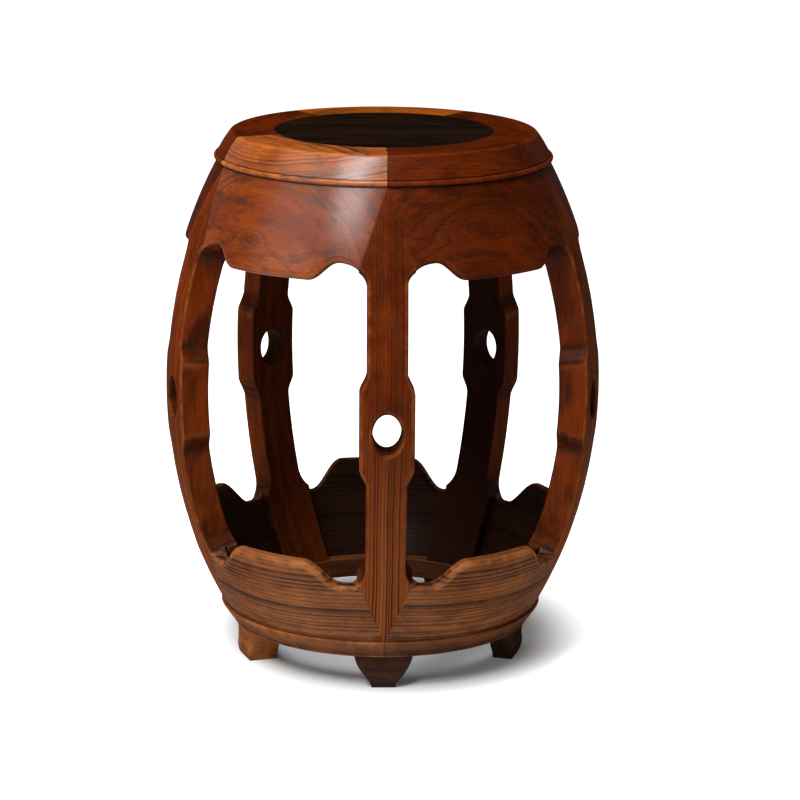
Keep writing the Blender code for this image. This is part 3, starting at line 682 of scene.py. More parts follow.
def arc_tree():
    tree = bpy.data.node_groups.new("mitred_arc", "GeometryNodeTree")
    sockets = tree.interface
    sockets.new_socket("Profile", in_out="INPUT", socket_type="NodeSocketGeometry")
    for name, kind in (("Radius", "NodeSocketFloat"), ("Steps", "NodeSocketInt"),
                       ("Start", "NodeSocketFloat"), ("Sweep", "NodeSocketFloat"),
                       ("Wood", "NodeSocketMaterial")):
        sockets.new_socket(name, in_out="INPUT", socket_type=kind)
    sockets.new_socket("Piece", in_out="OUTPUT", socket_type="NodeSocketGeometry")
    given = tree.nodes.new("NodeGroupInput")
    arc = tree.nodes.new("GeometryNodeCurveArc")
    arc.mode = "RADIUS"
    sweep = tree.nodes.new("GeometryNodeCurveToMesh")
    sweep.inputs["Fill Caps"].default_value = True
    wood = tree.nodes.new("GeometryNodeSetMaterial")
    realize = tree.nodes.new("GeometryNodeRealizeInstances")
    result = tree.nodes.new("NodeGroupOutput")
    for source, target in (
        (given.outputs["Radius"], arc.inputs["Radius"]),
        (given.outputs["Steps"], arc.inputs["Resolution"]),
        (given.outputs["Start"], arc.inputs["Start Angle"]),
        (given.outputs["Sweep"], arc.inputs["Sweep Angle"]),
        (arc.outputs["Curve"], sweep.inputs["Curve"]),
        (given.outputs["Profile"], sweep.inputs["Profile Curve"]),
        (sweep.outputs["Mesh"], realize.inputs["Geometry"]),
        (realize.outputs["Geometry"], wood.inputs["Geometry"]),
        (given.outputs["Wood"], wood.inputs["Material"]),
        (wood.outputs["Geometry"], result.inputs["Piece"]),
    ):
        tree.links.new(source, target)
    return tree


def arc_mesh(kind, tree, profile, radius, material):
    """One mitred arc, centred on the front, from a profile of radius and height."""
    curve = bpy.data.curves.new(kind, "CURVE")
    curve.dimensions = "3D"
    spline = curve.splines.new("POLY")
    spline.points.add(len(profile) - 1)
    for point, (across, height) in zip(spline.points, profile):
        point.co = (across - radius, -height, 0, 1)
    spline.use_cyclic_u = True
    holder = bpy.data.objects.new(kind, curve)
    bpy.context.collection.objects.link(holder)
    modifier = holder.modifiers.new("arc", "NODES")
    modifier.node_group = tree
    sweep = PITCH - JOINT_GAP / radius
    values = {"Radius": radius, "Steps": ARC_STEPS + 1, "Start": -math.pi / 2 - sweep / 2,
              "Sweep": sweep, "Wood": material}
    for item in tree.interface.items_tree:
        if item.in_out == "INPUT" and item.name in values:
            modifier[item.identifier] = values[item.name]
    bpy.context.view_layer.update()
    depsgraph = bpy.context.evaluated_depsgraph_get()
    mesh = bpy.data.meshes.new_from_object(holder.evaluated_get(depsgraph))
    bpy.data.objects.remove(holder)
    bm = bmesh.new()
    bm.from_mesh(mesh)
    bpy.data.meshes.remove(mesh)
    return finished(kind, bm)


def seat_frame_profile():
    inner = PANEL_RADIUS + FIT_GAP
    groove = inner + TONGUE_LENGTH
    groove_top = TONGUE_TOP + FIT_GAP
    groove_bottom = TONGUE_TOP - TONGUE_THICKNESS - FIT_GAP
    quirk = BEAD_CENTRE_RADIUS - QUIRK_DEPTH
    foot = Vector((BEAD_CENTRE_RADIUS - TOP_EASE, BEVEL_FOOT))
    slope = math.atan2(STOOL_HEIGHT - foot.y, BEVEL_WIDTH)
    flat_end = foot.x - BEVEL_WIDTH - TOP_ROUNDING * math.tan(slope / 2)
    points = [(inner, groove_top)]
    points += arc_points((inner + TOP_EASE, STOOL_HEIGHT - TOP_EASE), TOP_EASE, TOP_EASE,
                         math.pi, math.pi / 2, steps=4)
    points += [(inner + 3 * TOP_EASE, STOOL_HEIGHT), (flat_end - 2 * TOP_EASE, STOOL_HEIGHT)]
    points += arc_points((flat_end, STOOL_HEIGHT - TOP_ROUNDING), TOP_ROUNDING, TOP_ROUNDING,
                         math.pi / 2, math.pi / 2 - slope, steps=7)
    bevel_start = Vector(points[-1])
    outwards = Vector((math.sin(slope), math.cos(slope)))
    for share in BEVEL_SHARES:
        swell = outwards * (BEVEL_SWELL * math.sin(math.pi * share))
        points.append(tuple(bevel_start.lerp(foot, share) + swell))
    points.append((foot.x - BEAD_QUIRK, foot.y - BEAD_QUIRK))
    points += arc_points((BEAD_CENTRE_RADIUS, BEAD_CENTRE_HEIGHT), BEAD_RADIUS, BEAD_RADIUS,
                         BEAD_START, -math.pi / 2, steps=14)
    return points + [
        (quirk, SEAT_UNDERSIDE + QUIRK_HEIGHT), (quirk, SEAT_UNDERSIDE), (inner, SEAT_UNDERSIDE),
        (inner, groove_bottom), (groove, groove_bottom), (groove, groove_top),
    ]


def base_ring_profile():
    outer_middle = barrel_radius((RING_TOP + RING_UNDERSIDE) / 2) + RING_LIP
    outer_bottom = barrel_radius(RING_UNDERSIDE) + RING_LIP
    edge = RING_ROUNDING
    inside = RING_INNER_ROUNDING
    points = [(RING_INNER_RADIUS, RING_UNDERSIDE + TOP_EASE)]
    points += arc_points((RING_INNER_RADIUS + inside, RING_TOP - inside), inside, inside,
                         math.pi, math.pi / 2, steps=5)
    points += [(RING_INNER_RADIUS + 2 * inside, RING_TOP)]
    points += arc_points((RING_OUTER_RADIUS - edge, RING_TOP - edge), edge, edge,
                         math.pi / 2, 0, steps=6)
    points.append((outer_middle, (RING_TOP + RING_UNDERSIDE) / 2))
    points += arc_points((outer_bottom - edge, RING_UNDERSIDE + edge), edge, edge,
                         0, -math.pi / 2, steps=6)
    return points + [(RING_INNER_RADIUS + TOP_EASE, RING_UNDERSIDE)]


# Panel: a turned board with a tongue all round

def panel_mesh():
    underside = STOOL_HEIGHT - PANEL_THICKNESS
    reach = PANEL_RADIUS + TONGUE_LENGTH
    tongue_bottom = TONGUE_TOP - TONGUE_THICKNESS
    profile = [(0, underside), (PANEL_RADIUS, underside), (PANEL_RADIUS, tongue_bottom),
               (reach, tongue_bottom), (reach, TONGUE_TOP), (PANEL_RADIUS, TONGUE_TOP)]
    profile += arc_points((PANEL_RADIUS - TOP_EASE, STOOL_HEIGHT - TOP_EASE), TOP_EASE, TOP_EASE,
                          0, math.pi / 2, steps=4)
    profile += [(PANEL_RADIUS - 3 * TOP_EASE, STOOL_HEIGHT), (0, STOOL_HEIGHT)]
    bm = bmesh.new()
    verts = [bm.verts.new((0, -radius, height)) for radius, height in profile]
    edges = [bm.edges.new(pair) for pair in zip(verts, verts[1:])]
    bmesh.ops.spin(bm, geom=verts + edges, cent=(0, 0, 0), axis=(0, 0, 1), angle=2 * math.pi,
                   steps=PANEL_STEPS, use_merge=True)
    return finished("seat_panel", bm)


# Feet: tapered brackets with a small toe

def value_at(curve, height):
    """A curve's value at a height, along straight lines between its points."""
    for (low, start), (high, end) in zip(curve, curve[1:]):
        if low <= height <= high and high > low:
            return start + (end - start) * (height - low) / (high - low)
    return curve[-1][1]


def foot_mesh(depth, sole_half_width, front_shares):
    top = RING_UNDERSIDE - FIT_GAP
    top_radius = barrel_radius(RING_UNDERSIDE) + RING_LIP - FOOT_SETBACK
    inner_radius = top_radius - depth
    gain = FOOT_TOP_HALF_WIDTH - sole_half_width
    sides = [(0, sole_half_width - FOOT_SOLE_EASE)]
    for up, out in smooth_curve(FOOT_SIDE_SHARES, steps=3):
        height = FOOT_SOLE_HEIGHT + (top - FOOT_SOLE_HEIGHT) * up
        sides.append((height, sole_half_width + gain * out))
    fronts = []
    for up, out in smooth_curve(front_shares, steps=4):
        fronts.append((top * up, top_radius + FOOT_TOE * out))
    heights = {round(height, 5) for height, value in sides + fronts if 0 <= height <= top}
    heights |= {0, top}
    bm = bmesh.new()
    rows = []
    for height in sorted(heights):
        half_width = value_at(sides, height)
        front = value_at(fronts, height)
        row = []
        for x, y, quarter in ((half_width, front, 0), (-half_width, front, 1),
                              (-half_width, inner_radius, 2), (half_width, inner_radius, 3)):
            corner = (x - math.copysign(FOOT_ROUNDING, x),
                      y + (FOOT_ROUNDING if y == inner_radius else -FOOT_ROUNDING))
            row += arc_points(corner, FOOT_ROUNDING, FOOT_ROUNDING, math.pi / 2 * quarter,
                              math.pi / 2 * (quarter + 1), steps=3)
        rows.append([bm.verts.new((x, -y, height)) for x, y in row])
    for lower, upper in zip(rows, rows[1:]):
        for i in range(len(lower)):
            bm.faces.new((lower[i - 1], lower[i], upper[i], upper[i - 1]))
    bm.faces.new(rows[0])
    bm.faces.new(rows[-1])
    return finished("foot", bm)


# Streaked hardwood

# A grain is how finely a pattern runs along and across the board. A range has the two ends of what
# is read and, where it goes on, the two ends of what comes out.
SLOW_BEND = (4, 11, 11)
QUICK_BEND = (17, 70, 70)
QUICK_BEND_SHARE = 0.2
PITH_STRETCH = (0.05, 1, 1)
KNOT_STRETCH = (0.55, 1, 1)
KNOT_DARKNESS = 0.55
YEAR_PACE = 0.37
YEAR_SPREAD = 2
LATE_WOOD_POWER = 1.7
LATE_WOOD_RANGE = (1, 0.84)
BOLD_PACE = 0.27
BOLD_RANGE = (0.3, 0.62, 0.65, 1.4)
BROAD_PACE = 0.15
BROAD_STRENGTH = 1.1
HAIR_PACE = 6.5
HAIR_STRENGTH = 0.8
CLOUD_GRAIN = (9, 30, 30)
CLOUD_RANGE = (0.3, 0.7)
MOTTLE_GRAIN = (30, 110, 110)
MOTTLE_RANGE = (0.46, 0.7, 0, 0.7)
FIBRE_GRAIN = (32, 760, 760)
FIBRE_LIGHTNESS = 1.2
FLECK_GRAIN = (150, 1500, 1500)
FLECK_RANGE = (0.6, 0.72)
FLECK_DARKNESS = 0.5
GROUND_LIGHTNESS = 0.42
MIDDLE = 0.5
MIDDLE_GREY = (MIDDLE, MIDDLE, MIDDLE)

# Age, polish and painted shade
LEVEL = (1, 1, 0)
PATCH_GRAIN = (70, 70, 70)
# Faces turned inwards, towards the axis, are painted dark there: painted shade
INSIDE_RANGE = (0.05, -0.6)
WEAR_RANGE = (0.35, 0.65, 0.1, 0.6)
FADE_HEIGHT_RANGE = (0.3, 0.06)
FADE_FACING_RANGE = (0.4, 0.8, 0.15, 1)
STREAK_KEEP = 1.6
# Noise range that breaks up the dark in creases: dirt and painted shade
DIRT_AND_SHADE_RANGE = (0.3, 0.62, 0.95, 0.5)
WOOD_ROUGHNESS = 0.34
GRIME_AND_SHADE_ROUGHNESS = 0.25
FIBRE_ROUGHNESS = 0.14
COAT_ROUGHNESS = 0.26
COAT_LOSS_INSIDE = 0.85
COAT_ON_TOP_RANGE = (0.75, 0.98, 1, 0.12)
COAT_PATCH_RANGE = (0.2, 0.7, 1, 0.75)
COAT_HANDLED_RANGE = (0.8, 0.97, 0.4, 1.15)
STREAK_HEIGHT = -0.25
FIBRE_HEIGHT = 0.5
GRAIN_STRENGTH = 0.35
GRAIN_DEPTH = 0.0002
RUBBED_GAIN = 1.3
HANDLED_SIDE = (-0.17, -0.985, 0)


class Wiring:
    """Adds nodes to one tree."""

    def __init__(self, tree):
        self.tree = tree

    def feed(self, socket, source):
        if isinstance(source, bpy.types.NodeSocket):
            self.tree.links.new(source, socket)
        else:
            socket.default_value = source

    def add(self, kind, inputs, **settings):
        made = self.tree.nodes.new(kind)
        for name, value in settings.items():
            setattr(made, name, value)
        for name, source in inputs.items():
            self.feed(made.inputs[name], source)
        return made

    def math(self, operation, *sources):
        return self.add("ShaderNodeMath", dict(enumerate(sources)), operation=operation).outputs[0]

    def times(self, first, second):
        return self.math("MULTIPLY", first, second)

    def scaled(self, value, factor, start):
        return self.math("MULTIPLY_ADD", value, factor, start)

    def without(self, share, factor):
        """What is left of one after a share times a factor."""
        return self.math("SUBTRACT", 1, self.times(share, factor))

    def vector(self, operation, *sources):
        made = self.add("ShaderNodeVectorMath", dict(enumerate(sources)), operation=operation)
        return made.outputs["Value" if operation in ("LENGTH", "DOT_PRODUCT") else "Vector"]

    def stretched(self, vector, factors):
        return self.vector("MULTIPLY", vector, factors)

    def bend(self, place, grain, detail, reach):
        """Sideways drift of the grain at a place."""
        drift = self.vector("SUBTRACT", self.noise(place, grain, detail, "Color"), MIDDLE_GREY)
        bent = self.add("ShaderNodeVectorMath", {0: drift, "Scale": reach}, operation="SCALE")
        return bent.outputs[0]

    def noise(self, place, grain, detail, output="Fac"):
        inputs = {"Vector": self.stretched(place, grain), "Scale": 1, "Detail": detail}
        return self.add("ShaderNodeTexNoise", inputs).outputs[output]

    def stripes(self, phase, pace, detail):
        inputs = {"W": self.times(phase, pace), "Scale": 1, "Detail": detail}
        return self.add("ShaderNodeTexNoise", inputs, noise_dimensions="1D").outputs["Fac"]

    def between(self, value, low, high, out_low=0, out_high=1):
        inputs = {"Value": value, "From Min": low, "From Max": high}
        inputs.update({"To Min": out_low, "To Max": out_high})
        made = self.add("ShaderNodeMapRange", inputs, interpolation_type="SMOOTHSTEP")
        return made.outputs["Result"]

    def mix(self, share, first, second):
        """Mix of two colours, which the node takes in its sockets 6 and 7 and gives in output 2."""
        made = self.add("ShaderNodeMix", {0: share, 6: first, 7: second}, data_type="RGBA")
        return made.outputs[2]

    def upward(self, vector):
        return self.add("ShaderNodeSeparateXYZ", {"Vector": vector}).outputs["Z"]

    def mark(self, name):
        return self.add("ShaderNodeAttribute", {}, attribute_name=name).outputs["Fac"]

    def place(self):
        return self.add("ShaderNodeTexCoord", {}).outputs["Object"]


def new_group(name, inputs, outputs):
    """An empty group: its wiring, the sockets it is given and those of its result."""
    tree = bpy.data.node_groups.new(name, "ShaderNodeTree")
    for in_out, sockets in (("INPUT", inputs), ("OUTPUT", outputs)):
        for kind, names in sockets.items():
            for socket in names.split():
                tree.interface.new_socket(socket, in_out=in_out, socket_type="NodeSocket" + kind)
    given = tree.nodes.new("NodeGroupInput").outputs
    return Wiring(tree), given, tree.nodes.new("NodeGroupOutput").inputs


def hardwood_group():
    """Growth rings round a pith line, with clouds, fibres and pore flecks."""
    wire, given, result = new_group(
        "streaked_hardwood",
        {"Vector": "place knot", "Color": "pale main dark",
         "Float": "ring_width wander streaks clouds flecks knot_size knot_pull"},
        {"Color": "color", "Float": "streak fibre fleck"},
    )
    place = given["place"]
    slow = wire.bend(place, SLOW_BEND, 1, given["wander"])
    quick = wire.bend(place, QUICK_BEND, 2, wire.times(given["wander"], QUICK_BEND_SHARE))
    bent = wire.vector("ADD", place, wire.vector("ADD", slow, quick))
    to_knot = wire.stretched(wire.vector("SUBTRACT", place, given["knot"]), KNOT_STRETCH)
    near = wire.math("DIVIDE", wire.vector("LENGTH", to_knot), given["knot_size"])
    knot = wire.math("EXPONENT", wire.times(wire.times(near, near), -1))
    from_pith = wire.vector("LENGTH", wire.stretched(bent, PITH_STRETCH))
    distance = wire.scaled(knot, given["knot_pull"], from_pith)
    phase = wire.math("DIVIDE", distance, given["ring_width"])
    years = wire.scaled(wire.stripes(phase, YEAR_PACE, 1), YEAR_SPREAD, phase)
    ring = wire.math("FRACT", years)
    rising = wire.math("POWER", ring, LATE_WOOD_POWER)
    late = wire.times(rising, wire.between(ring, *LATE_WOOD_RANGE))
    bold = wire.between(wire.stripes(phase, BOLD_PACE, 0), *BOLD_RANGE)
    broad = wire.math("SUBTRACT", wire.stripes(phase, BROAD_PACE, 1), MIDDLE)
    hair = wire.math("SUBTRACT", wire.stripes(phase, HAIR_PACE, 1), MIDDLE)
    streak = wire.scaled(broad, BROAD_STRENGTH, wire.times(late, bold))
    streak = wire.times(wire.scaled(hair, HAIR_STRENGTH, streak), given["streaks"])
    cloud = wire.between(wire.noise(place, CLOUD_GRAIN, 2), *CLOUD_RANGE)
    mottle = wire.between(wire.noise(place, MOTTLE_GRAIN, 3), *MOTTLE_RANGE)
    fibre = wire.noise(place, FIBRE_GRAIN, 2)
    fleck = wire.between(wire.noise(place, FLECK_GRAIN, 1), *FLECK_RANGE)
    ground = wire.mix(wire.times(cloud, given["clouds"]), given["main"], given["pale"])
    ground = wire.mix(wire.times(mottle, given["clouds"]), ground, given["dark"])
    dyed = wire.mix(wire.scaled(knot, KNOT_DARKNESS, streak), ground, given["dark"])
    lift = wire.scaled(fibre, FIBRE_LIGHTNESS, GROUND_LIGHTNESS)
    drop = wire.times(fleck, wire.times(given["flecks"], FLECK_DARKNESS))
    lightness = wire.math("SUBTRACT", lift, drop)
    toned = wire.add("ShaderNodeHueSaturation", {"Color": dyed, "Value": lightness})
    wire.feed(result["color"], toned.outputs["Color"])
    wire.feed(result["streak"], streak)
    wire.feed(result["fibre"], fibre)
    wire.feed(result["fleck"], fleck)
    return wire.tree


def age_and_shade_group():
    """Rubbed arrises, dirt and painted shade in the corners, painted shade on the faces turned
    inwards, and polish that only the sides' outside keeps.
    """
    wire, given, result = new_group(
        "age_polish_and_shade",
        {"Color": "color rubbed grime", "Float": "streak fibre fleck polish inside faded"},
        {"Color": "color", "Float": "roughness coat height"},
    )
    normal = wire.add("ShaderNodeNewGeometry", {}).outputs["Normal"]
    place = wire.place()
    patchy = wire.noise(place, PATCH_GRAIN, 3)
    outwards = wire.vector("NORMALIZE", wire.stretched(place, LEVEL))
    facing = wire.vector("DOT_PRODUCT", normal, outwards)
    # Faces turned inwards, towards the axis, get painted shade, no rubbing and less coat
    inside = wire.between(facing, *INSIDE_RANGE)
    rubbed = wire.times(wire.mark("wear"), wire.between(patchy, *WEAR_RANGE))
    faded = wire.times(wire.between(wire.upward(place), *FADE_HEIGHT_RANGE), given["faded"])
    faded = wire.times(faded, wire.between(facing, *FADE_FACING_RANGE))
    faded = wire.times(faded, wire.without(given["streak"], STREAK_KEEP))
    rubbed = wire.times(wire.math("MAXIMUM", rubbed, faded), wire.between(inside, 1, 0))
    worn = wire.mix(rubbed, given["color"], given["rubbed"])
    # Creases and the faces turned inwards are mixed towards the dark tone: dirt and painted shade
    grime = wire.times(wire.mark("dirt_and_shade"), wire.between(patchy, *DIRT_AND_SHADE_RANGE))
    grime = wire.math("MAXIMUM", grime, wire.times(inside, given["inside"]))
    dull = wire.scaled(grime, GRIME_AND_SHADE_ROUGHNESS, WOOD_ROUGHNESS)
    coat = wire.without(inside, COAT_LOSS_INSIDE)
    coat = wire.times(coat, wire.between(wire.upward(normal), *COAT_ON_TOP_RANGE))
    coat = wire.times(coat, wire.between(patchy, *COAT_PATCH_RANGE))
    aside = wire.vector("NORMALIZE", wire.stretched(normal, LEVEL))
    handled = wire.vector("DOT_PRODUCT", aside, HANDLED_SIDE)
    coat = wire.times(coat, wire.between(handled, *COAT_HANDLED_RANGE))
    grain = wire.scaled(given["streak"], STREAK_HEIGHT, wire.times(given["fibre"], FIBRE_HEIGHT))
    wire.feed(result["color"], wire.mix(grime, worn, given["grime"]))
    wire.feed(result["roughness"], wire.scaled(given["fibre"], FIBRE_ROUGHNESS, dull))
    wire.feed(result["coat"], wire.times(coat, given["polish"]))
    wire.feed(result["height"], wire.math("SUBTRACT", grain, given["fleck"]))
    return wire.tree


def wood_material(name, groups, wood, turn):
    """One piece's hardwood: the grain turned and moved to suit the way its board was cut."""
    material = bpy.data.materials.new(name)
    material.use_nodes = True
    tree = material.node_tree
    wire = Wiring(tree)
    shader = tree.nodes["Principled BSDF"]
    grain = Matrix.Rotation(math.pi / 2 if wood["upright"] else 0, 3, "Y")
    grain = grain @ Matrix.Rotation(wood["tilt"], 3, "Y") @ Matrix.Rotation(wood["swing"], 3, "Z")
    start = Vector((wood["shift"], 0, 0)) - grain @ Vector(wood["pith"])
    turned = (grain @ Matrix.Rotation(-turn, 3, "Z")).to_euler()
    placed = wire.add("ShaderNodeMapping", {
        "Vector": wire.place(), "Rotation": turned, "Location": start,
    })
    grown, aged_and_shaded = [wire.add("ShaderNodeGroup", {}, node_tree=group) for group in groups]
    knot = grain @ Vector(wood["knot"]) + start
    values = {**wood, "place": placed.outputs["Vector"], "knot": knot}
    for output in grown.outputs:
        wire.feed(aged_and_shaded.inputs[output.name], output)
    for socket in (*grown.inputs, *aged_and_shaded.inputs):
        if socket.name in values:
            wire.feed(socket, values[socket.name])
    bump = wire.add("ShaderNodeBump", {
        "Height": aged_and_shaded.outputs["height"], "Strength": GRAIN_STRENGTH, "Distance": GRAIN_DEPTH,
    })
    wire.feed(shader.inputs["Base Color"], aged_and_shaded.outputs["color"])
    wire.feed(shader.inputs["Roughness"], aged_and_shaded.outputs["roughness"])
    wire.feed(shader.inputs["Coat Weight"], aged_and_shaded.outputs["coat"])
    wire.feed(shader.inputs["Normal"], bump.outputs["Normal"])
    shader.inputs["Specular IOR Level"].default_value = 0
    shader.inputs["Coat Roughness"].default_value = COAT_ROUGHNESS
    return material


# Tones and boards

def tone(red, green, blue):
    """A colour as seen on screen, as the share of light that it sends back."""
    shares = []
    for value in (red, green, blue):
        value /= 255
        shares.append(value / 12.92 if value <= 0.04045 else ((value + 0.055) / 1.055) ** 2.4)
    return (*shares, 1)


def tones(pale, main, dark):
    """A board's three tones, and the paler one of its rubbed arrises."""
    pale = tone(*pale)
    rubbed = (*[min(1, RUBBED_GAIN * share) for share in pale[:3]], 1)
    return {"pale": pale, "main": tone(*main), "dark": tone(*dark), "rubbed": rubbed}


ORANGE = tones((186, 98, 26), (150, 72, 16), (62, 26, 9))
AMBER = tones((138, 60, 7), (104, 38, 3), (46, 18, 6))
RED = tones((110, 41, 6), (84, 27, 2), (36, 13, 4))
DEEP_RED = tones((100, 37, 5), (72, 23, 2), (30, 11, 4))
BRIGHT_RED = tones((134, 54, 9), (104, 38, 4), (42, 16, 5))
RED_BROWN = tones((120, 50, 14), (95, 37, 10), (38, 16, 6))
BROWN = tones((164, 99, 54), (124, 69, 36), (46, 25, 15))
DARK_BROWN = tones((120, 71, 40), (92, 51, 28), (42, 22, 13))
# Dark brown for feet that stand in the ring's shade: painted shade
SHADED_FOOT_BROWN = tones((66, 41, 29), (47, 29, 21), (26, 16, 11))
NEAR_BLACK = tones((48, 29, 16), (20, 12, 8), (7, 5, 4))
LEG_RUBBED = tone(152, 82, 38)

# How growth rings lie in a plain board; a knot at (1, 1, 1) is far outside the stool
PLAIN_BOARD = dict(
    ring_width=0.004, wander=0.012, streaks=0.8, clouds=0.6, flecks=0.6, pith=(0, 0.03, 0), shift=0,
    knot=(1, 1, 1), knot_size=0.012, knot_pull=0, upright=False, swing=0, tilt=0, polish=0.16,
    # The inside share and the last tone paint the faces turned inwards dark, as painted shade, and
    # the creases, as dirt and painted shade
    inside=0.75, faded=0, grime=tone(30, 18, 13),
)
APRON_KNOTS = {
    1: dict(knot=(-0.014, -0.164, 0.42), knot_size=0.014, knot_pull=0.02),
    5: dict(knot=(-0.023, -0.170, 0.405), knot_size=0.007, knot_pull=0.012),
}


def board_of(colours, **changes):
    return {**PLAIN_BOARD, **colours, **changes}


def every_board():
    """Each piece's wood. The two boards at the front left keep the most polish."""
    woods = {
        "seat_frame_1": board_of(RED, pith=(0, -0.10, 0.33), shift=0.1, streaks=0.55, polish=0.12,
                                 knot=(0.035, -0.13, 0.47), knot_size=0.016, knot_pull=0.018),
        "seat_frame_2": board_of(RED, pith=(0, -0.10, 0.35), shift=0.5, streaks=0.5, polish=0.06),
        "seat_frame_3": board_of(ORANGE, pith=(0, -0.10, 0.36), shift=0.9, streaks=0.6, polish=0.06),
        "seat_frame_4": board_of(RED, pith=(0, -0.11, 0.34), shift=1.3, streaks=0.6, polish=0.08),
        "seat_frame_5": board_of(ORANGE, pith=(0, 0.02, -0.1), shift=1.7, ring_width=0.0032,
                                 wander=0.016, streaks=1.1, tilt=0.1, polish=0.85),
        "seat_panel": board_of(NEAR_BLACK, pith=(0, 0, 0.30), ring_width=0.005, streaks=0.7,
                               polish=0.04),
        "seat_brace": board_of(BROWN, pith=(0, 0, 0.40), polish=0),
    }
    upper_aprons = [(DEEP_RED, 0.1)] * 4 + [(AMBER, 0.6)]
    leg_tones = (RED, BRIGHT_RED, RED, RED_BROWN, BRIGHT_RED)
    # How far each leg's faces turned inwards are painted dark: painted shade
    leg_insides = (0.85, 0.85, 0.85, 0.35, 0.85)
    ring_tones = (DARK_BROWN, BROWN, BROWN, BROWN, BROWN)
    # Feet 1 to 4 are painted dark for the shade under the ring; foot 5 keeps the plain brown
    foot_tones = (SHADED_FOOT_BROWN, SHADED_FOOT_BROWN, SHADED_FOOT_BROWN, SHADED_FOOT_BROWN, BROWN)
    for index in range(LEG_COUNT):
        number = index + 1
        apron_tones, apron_polish = upper_aprons[index]
        woods["upper_apron_%d" % number] = board_of(
            apron_tones, pith=(0, 0.12, 0.42), shift=0.37 * number, ring_width=0.0055, streaks=0.42,
            wander=0.03, clouds=0.9, swing=0.14, polish=apron_polish, **APRON_KNOTS.get(number, {}),
        )
        # The lower aprons' faces turned inwards are painted darkest: painted shade
        woods["lower_apron_%d" % number] = board_of(
            BROWN, pith=(0, -0.10, -0.45), shift=0.29 * number, ring_width=0.0044, streaks=1.1,
            wander=0.01, inside=0.93,
        )
        woods["leg_%d" % number] = board_of(
            leg_tones[index], pith=(0.6, -0.17, 0), shift=0.41 * number, upright=True,
            ring_width=0.003, streaks=0.75, wander=0.008, polish=0.07, inside=leg_insides[index],
            rubbed=LEG_RUBBED, faded=0.85,
        )
        woods["base_ring_%d" % number] = board_of(
            ring_tones[index], pith=(0, -0.10, -0.5), shift=0.23 * number, streaks=0.4,
        )
        woods["foot_%d" % number] = board_of(
            foot_tones[index], pith=(0, -0.05, 0.35), shift=0.19 * number, streaks=0.6, polish=0.06,
        )
    return woods


WOODS = every_board()


# Assembly

def place_piece(name, mesh, turn, groups):
    """One fine piece, standing for the CAD node of its name."""
    own = mesh.copy()
    own.name = name
    own.transform(Matrix.Rotation(turn, 4, "Z"))
    own.materials.clear()
    own.materials.append(wood_material(name + "_wood", groups, WOODS[name], turn))
    piece = bpy.data.objects.new(name + "_fine", own)
    bpy.context.collection.objects.link(piece)
    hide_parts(name)
    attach(piece, "root")


def place_round(kind, meshes, first_turn, groups):
    """Five pieces round the stool, numbered anticlockwise as seen from above."""
    for index, mesh in enumerate(meshes):
        place_piece("%s_%d" % (kind, index + 1), mesh, first_turn + PITCH * index, groups)
    for mesh in set(meshes):
        bpy.data.meshes.remove(mesh)


def build_stool():
    groups = (hardwood_group(), age_and_shade_group())
    tree = arc_tree()
    half = PITCH / 2
    filler = bpy.data.materials.new("wood_for_arcs")
    seat_arc = arc_mesh("seat_frame", tree, seat_frame_profile(), SEAT_PATH_RADIUS, filler)
    ring_arc = arc_mesh("base_ring", tree, base_ring_profile(), RING_PATH_RADIUS, filler)
    bpy.data.materials.remove(filler)
    place_round("seat_frame", [seat_arc] * LEG_COUNT, half, groups)
    place_round("base_ring", [ring_arc] * LEG_COUNT, half, groups)
    panel = panel_mesh()
    place_piece("seat_panel", panel, 0, groups)
    bpy.data.meshes.remove(panel)
    place_round("upper_apron", [apron_mesh("upper_apron", UPPER)] * LEG_COUNT, half, groups)
    lower_edges = (LOWER_FRONT, LOWER, LOWER_REAR, LOWER, LOWER_FRONT)
    lower_aprons = [apron_mesh("lower_apron", edge) for edge in lower_edges]
    place_round("lower_apron", lower_aprons, half, groups)
    place_round("leg", [leg_mesh()] * LEG_COUNT, 0, groups)
    foot = foot_mesh(FOOT_DEPTH, FOOT_SOLE_HALF_WIDTH, FOOT_FRONT_SHARES)
    big_foot = foot_mesh(BIG_FOOT_DEPTH, BIG_FOOT_SOLE_HALF_WIDTH, BIG_FOOT_FRONT_SHARES)
    place_round("foot", [foot] * (LEG_COUNT - 1) + [big_foot], 0, groups)
    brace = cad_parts["seat_brace"]
    brace.data.materials.clear()
    brace.data.materials.append(wood_material("seat_brace_wood", groups, WOODS["seat_brace"], 0))


# Studio

WHITE = (1, 1, 1, 1)
PAPER = (0.86, 0.89, 0.92, 1)
PAPER_ROUGHNESS = 0.9
FLOOR_SIZE = 8
SURROUND_LIGHT = 0.065
SHADOW_MIDDLE = (0.011, 0.035, 0)
SHADOW_SQUEEZE = (1, 0.8, 1)
SHADOW_RADIUS = 0.115
GLOW_RADIUS = 0.2

# Place, height of the point it looks at, width, length and watts
LIGHTS = {
    "overhead_light": ((-0.35, 0.1, 2.0), 0.2, 1.5, 1.5, 8),
    "top_light": ((-0.38, -0.98, 2.3), 0.4, 0.6, 0.7, 16),
    "key_light": ((-0.76, -1.65, 2.05), 0.3, 0.6, 1.0, 34),
    "side_light": ((-1.65, -0.8, 1.5), 0.3, 1.5, 1.5, 14),
    "fill_light": ((1.6, -1.5, 1.0), 0.25, 1.4, 1.4, 3.5),
}

# Camera
SENSOR_WIDTH = 36
FOCAL_LENGTH = 146.33
SIDE_SHIFT = 0.02284
CAMERA_SWING = -0.02555
CAMERA_DISTANCE = 2.87242
CAMERA_HEIGHT = 0.94356
CAMERA_DIP = 0.24303
CAMERA_ROLL = 0.00755


